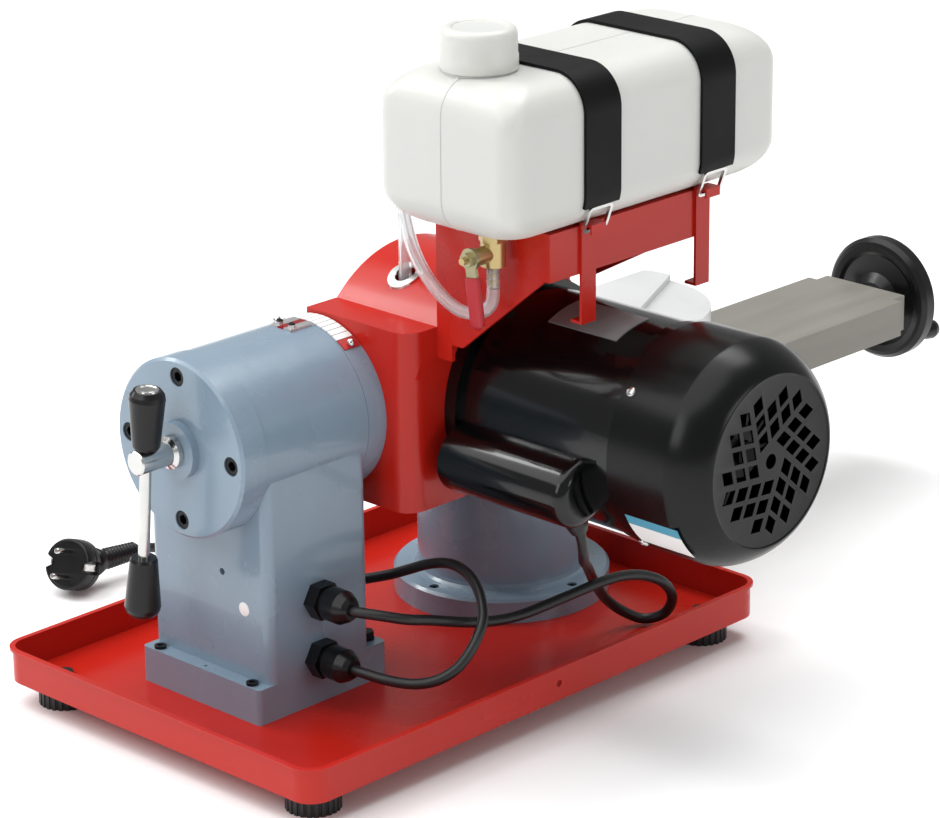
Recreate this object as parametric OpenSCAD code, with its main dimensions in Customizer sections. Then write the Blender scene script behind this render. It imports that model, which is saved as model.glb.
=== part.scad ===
// Wet grinding sharpener for circular saw blades.
// Motor and wheel on a head that tilts about X; the blade lies on a carriage that a screw moves
// along a swivelling arm. Millimetres, +Z up, origin under the middle of the whole machine.

/* [Tray] */
// Length of the coolant tray
tray_l = 450; // [440:2:480]
// Width of the coolant tray
tray_w = 312; // [304:2:330]
// Height of the tray's wall
tray_h = 25; // [20:1:32]
// Thickness of the tray's sheet
tray_sheet = 2; // [1.5:0.5:3]
// Radius of the tray's corners
tray_r = 16; // [12:1:20]
// Width of the folded rim
rim_w = 4; // [3:0.5:6]
// Diameter of the overflow hole in the near wall
overflow_d = 5; // [4:0.5:7]
// Diameter of a rubber foot
foot_d = 38; // [34:1:44]
// Height of a rubber foot
foot_h = 18; // [14:1:24]
// Distance from the tray's edges to a foot's centre
foot_in = 30; // [28:1:36]

/* [Stand] */
// Distance from the tray's left edge to the stand
stand_x = 62; // [56:1:66]
// Distance from the tray's near edge to the tilt axis
axis_y = 175; // [168:1:182]
// Height of the tilt axis above the floor
axis_z = 209; // [204:1:216]
// Width of the stand
stand_w = 119; // [112:1:122]
// Height of the stand's foot block
block_h = 26; // [20:1:32]
// Depth of the ledge in front of the column
front_ledge = 11; // [10:1:14]
// Depth of the ledge behind the column
rear_ledge = 15; // [15:1:20]
// Length of the column and of the round housing on it
column_l = 95; // [90:1:98]
// Diameter of the round housing
housing_d = 124; // [122:1:130]
// Bore of the housing
bore_d = 80; // [70:1:90]
// Radius of the column's upright edges
column_r = 7; // [4:1:10]
// Spacing of the bolts along a ledge
bolt_pitch = 94; // [90:1:98]
// Diameter of the end cap
cap_d = 126; // [124:1:132]
// Thickness of the end cap
cap_t = 22; // [18:1:26]
// Diameter of the boss on the end cap
boss_d = 40; // [36:1:46]
// Height of the boss on the end cap
boss_l = 6; // [4:1:9]
// Pitch circle of the cap screws
cap_pcd = 102; // [98:1:106]
// Diameter of a cap screw's head
cap_head_d = 13; // [11:0.5:14]

/* [Clamp lever] */
// Diameter of the clamp hub
hub_d = 17; // [16:0.5:20]
// Length of the clamp hub
hub_l = 33; // [30:1:36]
// Diameter of the clamp stud
stud_d = 10; // [8:1:11]
// Diameter of the sliding bar
bar_d = 8; // [7:0.5:9]
// Length of the bar that shows between the grips
bar_l = 80; // [74:1:88]
// Largest diameter of a grip
grip_d = 25; // [22:1:28]
// Length of a grip
grip_l = 42; // [36:1:46]
// Lean of the bar when it hangs clamped
bar_lean = 5; // [0:1:10]

/* [Tilting head] */
// Diameter of the dial collar
collar_d = 124; // [120:1:126]
// Length of the dial collar
collar_l = 16.7; // [12:0.1:20]
// Thickness of the angle scale
scale_t = 0.8; // [0.6:0.2:1.2]
// Distance from the dial collar's face to the motor's axis
motor_off = 115; // [112:1:120]
// Distance from the tilt axis to the head's motor face
face_off = 83; // [80:1:86]
// Width of the head between its two faces
head_w = 98; // [96:1:104]
// Height of the head's box
head_h = 130; // [126:1:134]
// Length of the head's box
head_l = 133; // [130:1:136]
// Radius of the wheel hood
hood_r = 94; // [90:1:98]
// Distance from the dial collar's face to the hood's centre
hood_off = 97; // [94:1:100]
// Height of the hood's open mouth above the tilt axis
mouth_h = 32; // [28:1:36]
// Thickness of the head's sheet
head_wall = 4; // [3:0.5:5]
// Thickness of the plate that carries the motor
face_t = 8; // [6:1:10]

/* [Motor] */
// Diameter of the motor's front flange
flange_d = 160; // [156:1:164]
// Thickness of the motor's front flange
flange_t = 10; // [8:1:12]
// Diameter of the motor's shell
shell_d = 150; // [146:1:153]
// Length of the motor's shell
shell_l = 128; // [120:1:132]
// Thickness of the motor's shell
shell_wall = 4; // [3:0.5:5]
// Diameter of the fan cover
cover_d = 157.2; // [156:0.2:160]
// Length of the fan cover's straight part
cover_l = 64.6; // [60:0.2:70]
// Length of the fan cover's cone
cone_l = 12.4; // [10:0.2:16]
// Diameter of the fan cover's flat grille
grille_d = 122; // [116:1:128]
// Thickness of the fan cover
cover_t = 1.6; // [1.2:0.1:2]
// Pitch of the grille's diamond holes
grille_pitch = 13.2; // [12.6:0.1:13.4]
// Side of a diamond hole
grille_hole = 9.6; // [8.4:0.1:10]
// Diameter of the motor shaft
shaft_d = 18; // [16:1:20]
// Diameter of the rotor core
rotor_d = 82; // [78:1:84]
// Air gap between rotor and stator
air_gap = 1; // [0.6:0.1:1.2]
// Outer diameter of a ball bearing
bearing_d = 40; // [38:1:44]
// Width of a ball bearing
bearing_w = 12; // [10:1:14]
// Radius of the capacitor cover
capacitor_r = 23; // [21:1:25]
// Length of the capacitor cover
capacitor_l = 116; // [108:1:118]
// Distance from the motor's axis to the capacitor cover's centre
capacitor_off = 83; // [82:1:86]

/* [Grinding wheel] */
// Diameter of the grinding wheel
wheel_d = 125; // [110:1:128]
// Thickness of the grinding rim
rim_t = 15; // [12:1:18]
// Width of the grinding rim
rim_ring = 12; // [8:1:16]
// Thickness of the wheel's disc
disc_t = 7; // [6:1:9]
// Diameter of the clamping flange
clamp_d = 50; // [44:1:56]

/* [Tank] */
// Length of the coolant tank
tank_l = 270; // [262:2:280]
// Depth of the coolant tank
tank_w = 124; // [118:2:130]
// Height of the coolant tank
tank_h = 104; // [96:2:112]
// Radius of the tank's edges
tank_r = 25; // [20:1:28]
// radius of the tank's upright corners
tank_corner_r = 14; // [8:1:24]
// Thickness of the tank's wall
tank_wall = 2.5; // [2:0.5:3.5]
// Height of the tank's underside above the floor
tank_z = 360; // [356:1:370]
// Distance from the head's collar face back to the tank's left end
tank_back = 22; // [18:1:26]
// Distance from the head's motor face to the tank's far side
tank_side = 6; // [4:1:8]
// Diameter of the screw cap
tank_cap_d = 52; // [50:1:56]
// Height of the screw cap
tank_cap_h = 28; // [24:1:32]
// Width of a rubber strap
strap_w = 34; // [30:1:36]
// Thickness of a rubber strap
strap_t = 2.4; // [2:0.2:3]
// Thickness of the bracket's sheet
bracket_t = 3; // [2.5:0.5:4]

/* [Blade arm] */
// Diameter of the pedestal's flange
ped_flange_d = 160; // [156:1:164]
// Thickness of the pedestal's flange
ped_flange_t = 18; // [14:1:20]
// Diameter of the pedestal
ped_d = 124; // [120:1:128]
// Height of the pedestal above the tray's floor
ped_h = 90; // [86:1:92]
// Pitch circle of the pedestal's bolts
ped_pcd = 142; // [140:1:146]
// Diameter of the swivel pin
pin_d = 30; // [24:1:36]
// Thickness of the swivel plate
swivel_t = 11.7; // [10:0.1:12]
// Width of the arm
arm_w = 95; // [90:1:98]
// Height of the arm
arm_h = 29; // [27:1:31]
// Length of the arm
arm_l = 439; // [430:1:450]
// Thickness of the arm's walls
arm_wall = 6; // [5:0.5:8]
// Distance from the arm's inner end to the swivel pin
arm_back = 25; // [23:1:27]
// Diameter of the lead screw
screw_d = 14; // [12:1:16]
// Diameter of the handwheel
handwheel_d = 100; // [94:1:104]
// Length of the carriage
carriage_l = 80; // [70:1:90]
// Thickness of the carriage's walls
carriage_wall = 8; // [7:0.5:9]
// Length of the blade table
table_l = 90; // [86:1:96]
// Width of the blade table
table_w = 103; // [98:1:108]
// Radius of the blade table's round end
table_r = 78; // [74:1:82]
// Height of the step on the blade table
table_step = 5; // [3:0.5:6]
// Thickness of the blade table
table_t = 11; // [9:1:13]
// Diameter of the pin that holds the blade table
spindle_d = 16; // [14:1:20]
// Distance from the swivel pin to the pin of the blade table at rest
spindle_off = 171; // [166:1:180]

/* [Cables] */
// Diameter of the two cables
cable_d = 7.5; // [7:0.1:8]
// Diameter of the coolant hose
hose_d = 9; // [8:0.5:10]

/* [Hidden] */

red = "#c22a1d";
blue_grey = "#8596a4";
black = "#151517";
steel = "#a8a6a0";
bright = "#d4d4d2";
white = "#e6e5de";
brass = "#b08d4a";
rubber = "#1d1d1d";

// clearances: between faces that pass, between a shaft and its bore
gap = 0.3;
fit = 0.05;

// heights and stations that follow from the sizes above
floor_z = foot_h + tray_sheet;
rim_z = foot_h + tray_h;
column_x0 = stand_x + front_ledge;
column_x1 = column_x0 + column_l;
stand_l = front_ledge + column_l + rear_ledge;
cap_x = column_x0 - cap_t;
boss_x = cap_x - boss_l;
hub_x = boss_x - gap - hub_l;
bar_x = hub_x + hub_d / 2 + 1;
collar_x = column_x1 + gap;
head_x = collar_x + collar_l;
face_y = axis_y - face_off;
far_y = face_y + head_w;
motor_x = head_x + motor_off;
hood_x = head_x + hood_off;
head_z0 = axis_z - head_h / 2;
head_z1 = axis_z + head_h / 2;

// stations along the motor's axis, from the wheel side to the fan side
flange_y = face_y - flange_t;
shell_y = flange_y - shell_l;
bell_l = 22;
bell_y = shell_y - bell_l;
bell_d = cover_d - 2 * cover_t - 0.4;
cover_y = shell_y - bell_l / 2 + 1;
cone_y = cover_y - cover_l;
grille_y = cone_y - cone_l;

// pedestal, arm and carriage
ped_x = motor_x + 62;
ped_z = floor_z + ped_h;
swivel_z = ped_z + gap;
arm_z = swivel_z + swivel_t;
arm_x0 = ped_x - arm_back;
arm_x1 = arm_x0 + arm_l;
screw_z = arm_z + arm_h / 2;
end_plate_t = 14;
wheel_x = arm_x1 + end_plate_t + gap;
handwheel_hub_l = 18;
handwheel_t = 12;
crank_l = 18;
spindle_x = ped_x + spindle_off;

// tank
tank_x0 = head_x - tank_back;
tank_y1 = face_y + tank_side;
tank_y0 = tank_y1 - tank_w;

// the whole machine stands centred on its origin
mid_x = (wheel_x + handwheel_hub_l + handwheel_t + crank_l - rim_w / 2) / 2;
mid_y = (grille_y + tray_w + rim_w / 2) / 2;

module place() translate([-mid_x, -mid_y, 0]) children();
module along_x(x, y, z) translate([x, y, z]) rotate([0, 90, 0]) children();
module along_y(x, y, z) translate([x, y, z]) rotate([-90, 0, 0]) children();
module at(x, y, z) translate([x, y, z]) children();

// a rectangle with round corners, from its lower left corner
module round_rect(l, w, r) {
    translate([r, 0]) square([l - 2 * r, w]);
    translate([0, r]) square([l, w - 2 * r]);
    for (x = [r, l - r], y = [r, w - r]) translate([x, y]) circle(r, $fn = 48);
}

module hexagon(across, h) cylinder(d = across / cos(30), h = h, $fn = 6);

// a socket head screw standing on its seat, head up, shank down
module socket_screw(head_d, head_h, shank_d, shank_l) {
    difference() {
        cylinder(d = head_d, h = head_h, $fn = 32);
        translate([0, 0, head_h / 2]) hexagon(head_d / 2, head_h);
    }
    translate([0, 0, -shank_l]) cylinder(d = shank_d, h = shank_l + 0.01, $fn = 24);
}

// a tube of n sides along a list of points
function unit(v) = v / norm(v);
function heading(p, i) = unit(p[min(i + 1, len(p) - 1)] - p[max(i - 1, 0)]);
function carried(p, i, n) = i >= len(p) ? [] :
    let(t = heading(p, i), m = unit(n - (n * t) * t)) concat([m], carried(p, i + 1, m));
module tube_along(p, d, n = 10) {
    sides = carried(p, 0, [0, 0, 1]);
    rings = [for (i = [0:len(p) - 1]) for (k = [0:n - 1])
        let(t = heading(p, i), u = sides[i], v = cross(t, u), a = 360 * k / n)
        p[i] + d / 2 * (cos(a) * u + sin(a) * v)];
    last = (len(p) - 1) * n;
    faces = concat(
        [[for (k = [0:n - 1]) k]],
        [for (i = [0:len(p) - 2]) for (k = [0:n - 1])
            [i * n + k, (i + 1) * n + k, (i + 1) * n + (k + 1) % n, i * n + (k + 1) % n]],
        [[for (k = [n - 1:-1:0]) last + k]]);
    polyhedron(rings, faces, convexity = 6);
}

// ---------- tray, feet and stand ----------

stand_bolt_x = [stand_x + front_ledge / 2, column_x1 + rear_ledge / 2];
ledge_bolt_d = 5;
module tray() color(red) place() difference() {
    union() {
        at(0, 0, foot_h) linear_extrude(tray_h) round_rect(tray_l, tray_w, tray_r);
        at(-rim_w / 2, -rim_w / 2, rim_z - rim_w / 2) linear_extrude(rim_w / 2)
            round_rect(tray_l + rim_w, tray_w + rim_w, tray_r + rim_w / 2);
    }
    at(tray_sheet, tray_sheet, floor_z) linear_extrude(tray_h)
        round_rect(tray_l - 2 * tray_sheet, tray_w - 2 * tray_sheet, tray_r - tray_sheet);
    along_y(motor_x - 64, -rim_w, foot_h + tray_h / 2)
        cylinder(d = overflow_d, h = 2 * rim_w, $fn = 24);
    for (x = [foot_in, tray_l - foot_in], y = [foot_in, tray_w - foot_in])
        at(x, y, foot_h - 1) cylinder(d = foot_screw_d + 0.2, h = tray_sheet + 2, $fn = 24);
    for (x = stand_bolt_x, s = [-1, 1])
        at(x, axis_y + s * bolt_pitch / 2, foot_h - 1)
            cylinder(d = ledge_bolt_d + 0.2, h = tray_sheet + 2, $fn = 24);
    for (a = [0:90:270])
        at(ped_x + ped_pcd / 2 * cos(a), axis_y + ped_pcd / 2 * sin(a), foot_h - 1)
            cylinder(d = ledge_bolt_d + 0.2, h = tray_sheet + 2, $fn = 24);
}

foot_screw_d = 6;
foot_notches = 24;
module feet() color(rubber) place()
    for (x = [foot_in, tray_l - foot_in], y = [foot_in, tray_w - foot_in]) at(x, y, 0) {
        difference() {
            cylinder(d = foot_d, h = foot_h, $fn = 64);
            for (k = [0:foot_notches - 1]) rotate(k * 360 / foot_notches)
                translate([foot_d / 2, 0, -1]) cylinder(d = 2.4, h = foot_h - 4, $fn = 8);
        }
        at(0, 0, foot_h - 0.01) cylinder(d = foot_screw_d, h = tray_sheet + 0.01, $fn = 24);
        at(0, 0, floor_z) cylinder(d = 2 * foot_screw_d, h = 3, $fn = 24);
    }

gland_x = stand_x + 0.47 * stand_l;
gland_z = [floor_z + 34, floor_z + 77];
gland_hex = 24;
gland_l = 34;
gland_seat = axis_y - stand_w / 2 - 5;
module stand() color(blue_grey) place() difference() {
    union() {
        at(stand_x, axis_y - stand_w / 2, floor_z) linear_extrude(block_h)
            round_rect(stand_l, stand_w, 3);
        at(column_x0, axis_y - stand_w / 2, floor_z) linear_extrude(axis_z - floor_z)
            round_rect(column_l, stand_w, column_r);
        along_x(column_x0, axis_y, axis_z) cylinder(d = housing_d, h = column_l, $fn = 96);
    }
    // bore of the tilt journal, and the way through for the clamp stud
    along_x(column_x0 + 5, axis_y, axis_z) cylinder(d = bore_d, h = column_l, $fn = 96);
    along_x(column_x0 - 1, axis_y, axis_z) cylinder(d = stud_d + 2 * gap, h = 8, $fn = 32);
    for (x = stand_bolt_x, s = [-1, 1])
        at(x, axis_y + s * bolt_pitch / 2, floor_z - 1) {
            cylinder(d = ledge_bolt_d + 0.2, h = block_h + 2, $fn = 24);
        }
    at(stand_bolt_x[0], axis_y, floor_z + block_h - 6) cylinder(d = 2.5, h = 10, $fn = 16);
    along_x(column_x0 - 1, axis_y - 14, floor_z + 98) cylinder(d = 5, h = 9, $fn = 24);
    for (z = gland_z) along_y(gland_x, axis_y - stand_w / 2 - 1, z)
        cylinder(d = gland_thread_d + 0.2, h = 13, $fn = 32);
    for (a = [0:90:270]) along_x(column_x0 - 1, axis_y, axis_z) rotate(a)
        translate([cap_pcd / 2, 0, 0]) cylinder(d = cap_shank_d + 0.2, h = 18, $fn = 24);
}

module stand_bolts() color(bright) place() {
    for (s = [-1, 1]) {
        at(stand_bolt_x[0], axis_y + s * bolt_pitch / 2, floor_z + block_h)
            socket_screw(8.5, 2, ledge_bolt_d, block_h + tray_sheet);
        at(stand_bolt_x[1], axis_y + s * bolt_pitch / 2, floor_z + block_h) {
            cylinder(d = 12, h = 1.2, $fn = 32);
            at(0, 0, 1.2) hexagon(10, 5);
            at(0, 0, -block_h - tray_sheet)
                cylinder(d = ledge_bolt_d, h = block_h + tray_sheet + 0.01, $fn = 24);
        }
    }
}

cap_shank_d = 8;
cap_recess = 9;
module end_cap() color(blue_grey) place() difference() {
    union() {
        along_x(cap_x, axis_y, axis_z) rotate_extrude($fn = 96)
            polygon([[0, 0], [cap_d / 2 - 2, 0], [cap_d / 2, 2], [cap_d / 2, cap_t], [0, cap_t]]);
        along_x(boss_x, axis_y, axis_z) cylinder(d = boss_d, h = boss_l + 1, $fn = 64);
    }
    along_x(boss_x - 1, axis_y, axis_z)
        cylinder(d = stud_d + 2 * gap, h = cap_t + boss_l + 2, $fn = 32);
    for (a = [0:90:270]) along_x(cap_x - 1, axis_y, axis_z) rotate(a) translate([cap_pcd / 2, 0, 0]) {
        cylinder(d = cap_head_d + 0.4, h = cap_recess + 1, $fn = 32);
        cylinder(d = cap_shank_d + 0.2, h = cap_t + 2, $fn = 24);
    }
}

module cap_screws() color("#2b2d30") place()
    for (a = [0:90:270]) along_x(cap_x + cap_recess, axis_y, axis_z) rotate(a)
        translate([cap_pcd / 2, 0, 0]) mirror([0, 0, 1])
            socket_screw(cap_head_d, cap_recess - 1, cap_shank_d, cap_t - cap_recess + 15);

pointer_l = 22;
module pointer_plate() color(bright) place() {
    at(column_x1 - pointer_l, axis_y - 10, axis_z + housing_d / 2 - 1) difference() {
        cube([pointer_l, 20, 2]);
        // the plate is seated on the round housing
        translate([-1, 10, 1 - housing_d / 2]) rotate([0, 90, 0])
            cylinder(d = housing_d, h = pointer_l + 2, $fn = 360);
    }
    for (s = [-1, 1]) at(column_x1 - pointer_l + 5, axis_y + s * 6, axis_z + housing_d / 2 + 1)
        cylinder(d = 5, h = 2, $fn = 24);
}

gland_thread_d = 16;
module gland(z) along_y(gland_x, axis_y - stand_w / 2, z) mirror([0, 0, 1]) difference() {
    union() {
        hexagon(gland_hex, 10);
        at(0, 0, 10) cylinder(d = gland_hex - 3, h = 5, $fn = 32);
        at(0, 0, 13) rotate_extrude($fn = 48)
            polygon([[0, 0], [12, 0], [12, 12], [9, 18], [6.5, 21], [0, 21]]);
        at(0, 0, -11) cylinder(d = gland_thread_d, h = 12, $fn = 32);
    }
    at(0, 0, 5) cylinder(d = cable_d + 2 * fit, h = gland_l, $fn = 32);
}
module upper_gland() color(black) place() gland(gland_z[1]);
module lower_gland() color(black) place() gland(gland_z[0]);

ped_bolt_d = 7;
module pedestal() color(blue_grey) place() at(ped_x, axis_y, floor_z) difference() {
    rotate_extrude($fn = 128) polygon(concat(
        [[0, 0], [ped_flange_d / 2, 0], [ped_flange_d / 2, ped_flange_t - 2],
         [ped_flange_d / 2 - 2, ped_flange_t], [ped_d / 2 + 5, ped_flange_t]],
        [for (a = [0:30:90]) [ped_d / 2 + 5 - 5 * sin(a), ped_flange_t + 5 - 5 * cos(a)]],
        [[ped_d / 2, ped_h], [pin_d / 2, ped_h], [pin_d / 2, ped_h + pin_up], [0, ped_h + pin_up]]));
    for (a = [0:90:270]) rotate(a) translate([ped_pcd / 2, 0, 0]) {
        at(0, 0, -1) cylinder(d = ledge_bolt_d + 0.2, h = ped_flange_t + 2, $fn = 24);
        at(0, 0, ped_flange_t - 5) cylinder(d = ped_bolt_d + 0.4, h = 6, $fn = 24);
    }
}
pin_up = swivel_t + gap + arm_h - 8;

module pedestal_bolts() color("#2b2d30") place()
    for (a = [0:90:270]) at(ped_x, axis_y, floor_z + ped_flange_t - 5) rotate(a)
        translate([ped_pcd / 2, 0, 0])
            socket_screw(ped_bolt_d, 4, ledge_bolt_d, ped_flange_t - 5 + tray_sheet);

// switch on the operator's side of the column
switch_w = 46;
switch_h = 80;
switch_t = 16;
switch_z = floor_z + 50;
switch_x = column_x0 + column_l / 2;
button_d = 22;
button_up = 5;
button_z = [switch_z + 22, switch_z + 58];
module switch_box() color(black) place() difference() {
    at(switch_x - switch_w / 2, axis_y + stand_w / 2, switch_z)
        translate([0, switch_t, 0]) rotate([90, 0, 0]) linear_extrude(switch_t)
            round_rect(switch_w, switch_h, 5);
    for (z = button_z) along_y(switch_x, axis_y + stand_w / 2 + 5, z)
        cylinder(d = button_d + 2 * gap, h = switch_t, $fn = 48);
}
module button(z) along_y(switch_x, axis_y + stand_w / 2 + 5 + button_up, z)
    cylinder(d = button_d, h = switch_t - 5, $fn = 48);
module start_button() color("#2f8f45") place() button(button_z[1]);
module stop_button() color("#c0261c") place() button(button_z[0]);

// ---------- clamp lever ----------

module clamp_hub() color(bright) place() difference() {
    along_x(hub_x, axis_y, axis_z) rotate_extrude($fn = 64)
        polygon([[0, 0], [hub_d / 2 - 1, 0], [hub_d / 2, 1], [hub_d / 2, hub_l - 6],
                 [hub_d / 2 + 3, hub_l - 4], [hub_d / 2 + 3, hub_l], [0, hub_l]]);
    along_x(hub_x + hub_d + 1, axis_y, axis_z) cylinder(d = stud_d + 2 * fit, h = hub_l, $fn = 48);
    at(bar_x, axis_y, axis_z) rotate([bar_lean, 0, 0])
        cylinder(d = bar_d + 2 * fit, h = 2 * hub_d, center = true, $fn = 48);
}

// the bar and its grips, drawn upright about the hub and then leaned
module leaned() at(bar_x, axis_y, axis_z) rotate([bar_lean, 0, 0]) children();
grip_z = [-bar_l + hub_d / 2 + gap, hub_d / 2 + gap];
grip_hold = 14;
module lever_bar() color(bright) place() leaned()
    at(0, 0, grip_z[0] - grip_hold) cylinder(d = bar_d, h = bar_l + 2 * grip_hold, $fn = 48);

module grip() difference() {
    rotate_extrude($fn = 64) polygon([[0, 0], [grip_d * 0.34, 0], [grip_d * 0.38, 2],
        [grip_d * 0.5, grip_l - 6], [grip_d * 0.47, grip_l - 3], [grip_d * 0.38, grip_l], [0, grip_l]]);
    at(0, 0, -1) cylinder(d = bar_d, h = grip_hold + 1, $fn = 48);
}
module lever_grips() color(black) place() leaned() {
    at(0, 0, grip_z[1]) grip();
    at(0, 0, grip_z[0]) mirror([0, 0, 1]) grip();
}

// ---------- tilting head ----------

journal_l = column_l - 10;
stud_out = collar_x - journal_l - hub_x - hub_d - 2;
module tilt_spindle() color(blue_grey) place() {
    along_x(collar_x, axis_y, axis_z) cylinder(d = collar_d, h = collar_l, $fn = 128);
    along_x(collar_x - journal_l, axis_y, axis_z)
        cylinder(d = bore_d - 2 * fit, h = journal_l + 0.01, $fn = 96);
    along_x(collar_x - journal_l - stud_out, axis_y, axis_z)
        cylinder(d = stud_d, h = stud_out + 0.01, $fn = 48);
}

scale_half = 38;
module angle_scale() color(white) place() {
    along_x(collar_x + 1, axis_y, axis_z) rotate(180 - scale_half)
        rotate_extrude(angle = 2 * scale_half, $fn = 128)
            translate([collar_d / 2, 0]) square([scale_t, collar_l - 2]);
    for (s = [-1, 1]) at(collar_x + collar_l / 2, axis_y, axis_z) rotate([s * (scale_half - 3), 0, 0])
        at(0, 0, collar_d / 2 + scale_t / 2) cylinder(d = 5, h = 2, $fn = 24);
}

// plan of the head's box, its near left edge rounded
head_r = 15;
module box_plan(l, w, r) {
    translate([r, 0]) square([l - r, w]);
    translate([0, r]) square([l, w - r]);
    translate([r, r]) circle(r, $fn = 64);
}
motor_bolt_pcd = 130;
spigot_d = 100;
module hood_form(r, y0, w) intersection() {
    along_y(hood_x, y0, axis_z) cylinder(r = r, h = w, $fn = 128);
    at(head_x, y0 - 1, axis_z + mouth_h) cube([2 * r + 40, w + 2, r]);
}
module head_housing() color(red) place() difference() {
    union() {
        at(head_x, face_y, head_z0) linear_extrude(head_h) box_plan(head_l, head_w, head_r);
        hood_form(hood_r, face_y, head_w);
        // the plate behind the motor's flange
        intersection() {
            along_y(hood_x, face_y, axis_z) cylinder(r = hood_r, h = face_t, $fn = 128);
            at(hood_x, face_y - 1, head_z0) cube([hood_r, face_t + 2, head_h]);
        }
    }
    // the wheel chamber, open below and to the right
    at(head_x + head_wall, face_y + face_t, head_z0 - 1)
        cube([head_l + 60, head_w - face_t - head_wall, head_h - head_wall + 1]);
    hood_form(hood_r - head_wall, face_y + face_t, head_w - face_t - head_wall);
    // the motor's spigot and bolts
    along_y(motor_x, face_y - 1, axis_z) cylinder(d = spigot_d, h = face_t + 2, $fn = 96);
    for (a = [45:90:315]) along_y(motor_x, face_y - 1, axis_z) rotate(a)
        translate([motor_bolt_pcd / 2, 0, 0]) cylinder(d = 8.2, h = face_t + 2, $fn = 24);
    // the coolant hose's hole in the hood
    at(grommet_x, grommet_y, axis_z) cylinder(d = grommet_d, h = hood_r + 10, $fn = 32);
    for (b = bracket_bolt) along_y(b[0], face_y - 1, b[1]) cylinder(d = 6.2, h = face_t + 2, $fn = 24);
}

grommet_x = hood_x - 42;
grommet_y = face_y + 56;
grommet_d = 20;
module hood_grommet() color("#8f8f8c") place() intersection() {
    at(grommet_x, grommet_y, axis_z) difference() {
        cylinder(d = grommet_d + 5, h = hood_r + 10, $fn = 48);
        at(0, 0, -1) cylinder(d = grommet_d - 5, h = hood_r + 12, $fn = 48);
    }
    along_y(hood_x, face_y, axis_z) difference() {
        cylinder(r = hood_r + 1.5, h = head_w, $fn = 128);
        at(0, 0, -1) cylinder(r = hood_r, h = head_w + 2, $fn = 128);
    }
}

// ---------- motor ----------

shaft_hole = shaft_d + 4;
seat_t = 4;
module motor_front_bell() color(black) place() along_y(motor_x, flange_y, axis_z) difference() {
    union() {
        cylinder(d = flange_d, h = flange_t, $fn = 128);
        at(0, 0, flange_t - 0.01) cylinder(d = spigot_d - 2 * fit, h = face_t - 2, $fn = 96);
        at(0, 0, -bearing_w) cylinder(d = bearing_d + 2 * seat_t, h = bearing_w + 1, $fn = 64);
    }
    at(0, 0, -bearing_w - 1) cylinder(d = bearing_d, h = bearing_w + 1, $fn = 64);
    at(0, 0, -1) cylinder(d = shaft_hole, h = flange_t + face_t + 2, $fn = 48);
    for (a = [45:90:315]) rotate(a) translate([motor_bolt_pcd / 2, 0, -1])
        cylinder(d = 8.2, h = flange_t + 2, $fn = 24);
}

module motor_shell() color(black) place() along_y(motor_x, shell_y, axis_z) difference() {
    cylinder(d = shell_d, h = shell_l, $fn = 128);
    at(0, 0, -1) cylinder(d = shell_d - 2 * shell_wall, h = shell_l + 2, $fn = 128);
}

stator_l = 78;
stator_y = shell_y + 26;
module stator() color("#8a6a3a") place() along_y(motor_x, stator_y, axis_z) difference() {
    cylinder(d = shell_d - 2 * shell_wall, h = stator_l, $fn = 96);
    at(0, 0, -1) cylinder(d = rotor_d + 2 * air_gap, h = stator_l + 2, $fn = 96);
}

rear_seat_y = bell_y + bell_l - 8;
module motor_rear_bell() color(black) place() along_y(motor_x, bell_y, axis_z) difference() {
    union() {
        cylinder(d = bell_d, h = bell_l, $fn = 128);
        at(0, 0, bell_l - 1) cylinder(d = bearing_d + 2 * seat_t, h = 5, $fn = 64);
    }
    at(0, 0, -1) cylinder(d = bell_d - 12, h = bell_l - 9, $fn = 96);
    at(0, 0, -1) cylinder(d = shaft_hole, h = bell_l + 8, $fn = 48);
    at(0, 0, bell_l - 8) cylinder(d = bearing_d, h = 14, $fn = 64);
}

module motor_bearings() color(bright) place() for (y = [flange_y - bearing_w, rear_seat_y])
    along_y(motor_x, y, axis_z) difference() {
        cylinder(d = bearing_d, h = bearing_w, $fn = 64);
        at(0, 0, -1) cylinder(d = shaft_d + 2 * fit, h = bearing_w + 2, $fn = 64);
    }

module motor_bolts() color(bright) place() for (a = [45:90:315])
    along_y(motor_x, face_y + face_t, axis_z) rotate(a) translate([motor_bolt_pcd / 2, 0, 0]) {
        hexagon(13, 5);
        at(0, 0, -face_t - flange_t)
            cylinder(d = 8, h = face_t + flange_t + 0.01, $fn = 24);
    }

// five sectors of diamond holes about the grille's centre hole
star_n = 5;
module diamond(s) polygon([[0, 0], s * [cos(0), sin(0)],
    s * [1 + cos(360 / star_n), sin(360 / star_n)], s * [cos(360 / star_n), sin(360 / star_n)]]);
module grille_holes() {
    circle(d = 8, $fn = 32);
    u = [1, 0];
    v = [cos(360 / star_n), sin(360 / star_n)];
    rib = grille_pitch - grille_hole;
    for (k = [0:star_n - 1]) rotate(90 + k * 360 / star_n)
        for (i = [0:3], j = [0:3 - i])
            translate((i * grille_pitch + rib) * u + (j * grille_pitch + rib) * v) diamond(grille_hole);
}
module fan_cover() color(black) place() along_y(motor_x, grille_y, axis_z) difference() {
    rotate_extrude($fn = 128) polygon([
        [0, 0], [grille_d / 2, 0], [cover_d / 2, cone_l], [cover_d / 2, cone_l + cover_l],
        [cover_d / 2 - cover_t, cone_l + cover_l], [cover_d / 2 - cover_t, cone_l],
        [grille_d / 2 - cover_t, cover_t], [0, cover_t]]);
    at(0, 0, -1) linear_extrude(cover_t + 2) grille_holes();
    for (a = [38:90:308]) at(0, 0, cone_l + cover_l - 7) rotate([0, 0, 180 + a]) rotate([0, 90, 0])
        cylinder(d = 4.4, h = cover_d, $fn = 24);
}
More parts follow.
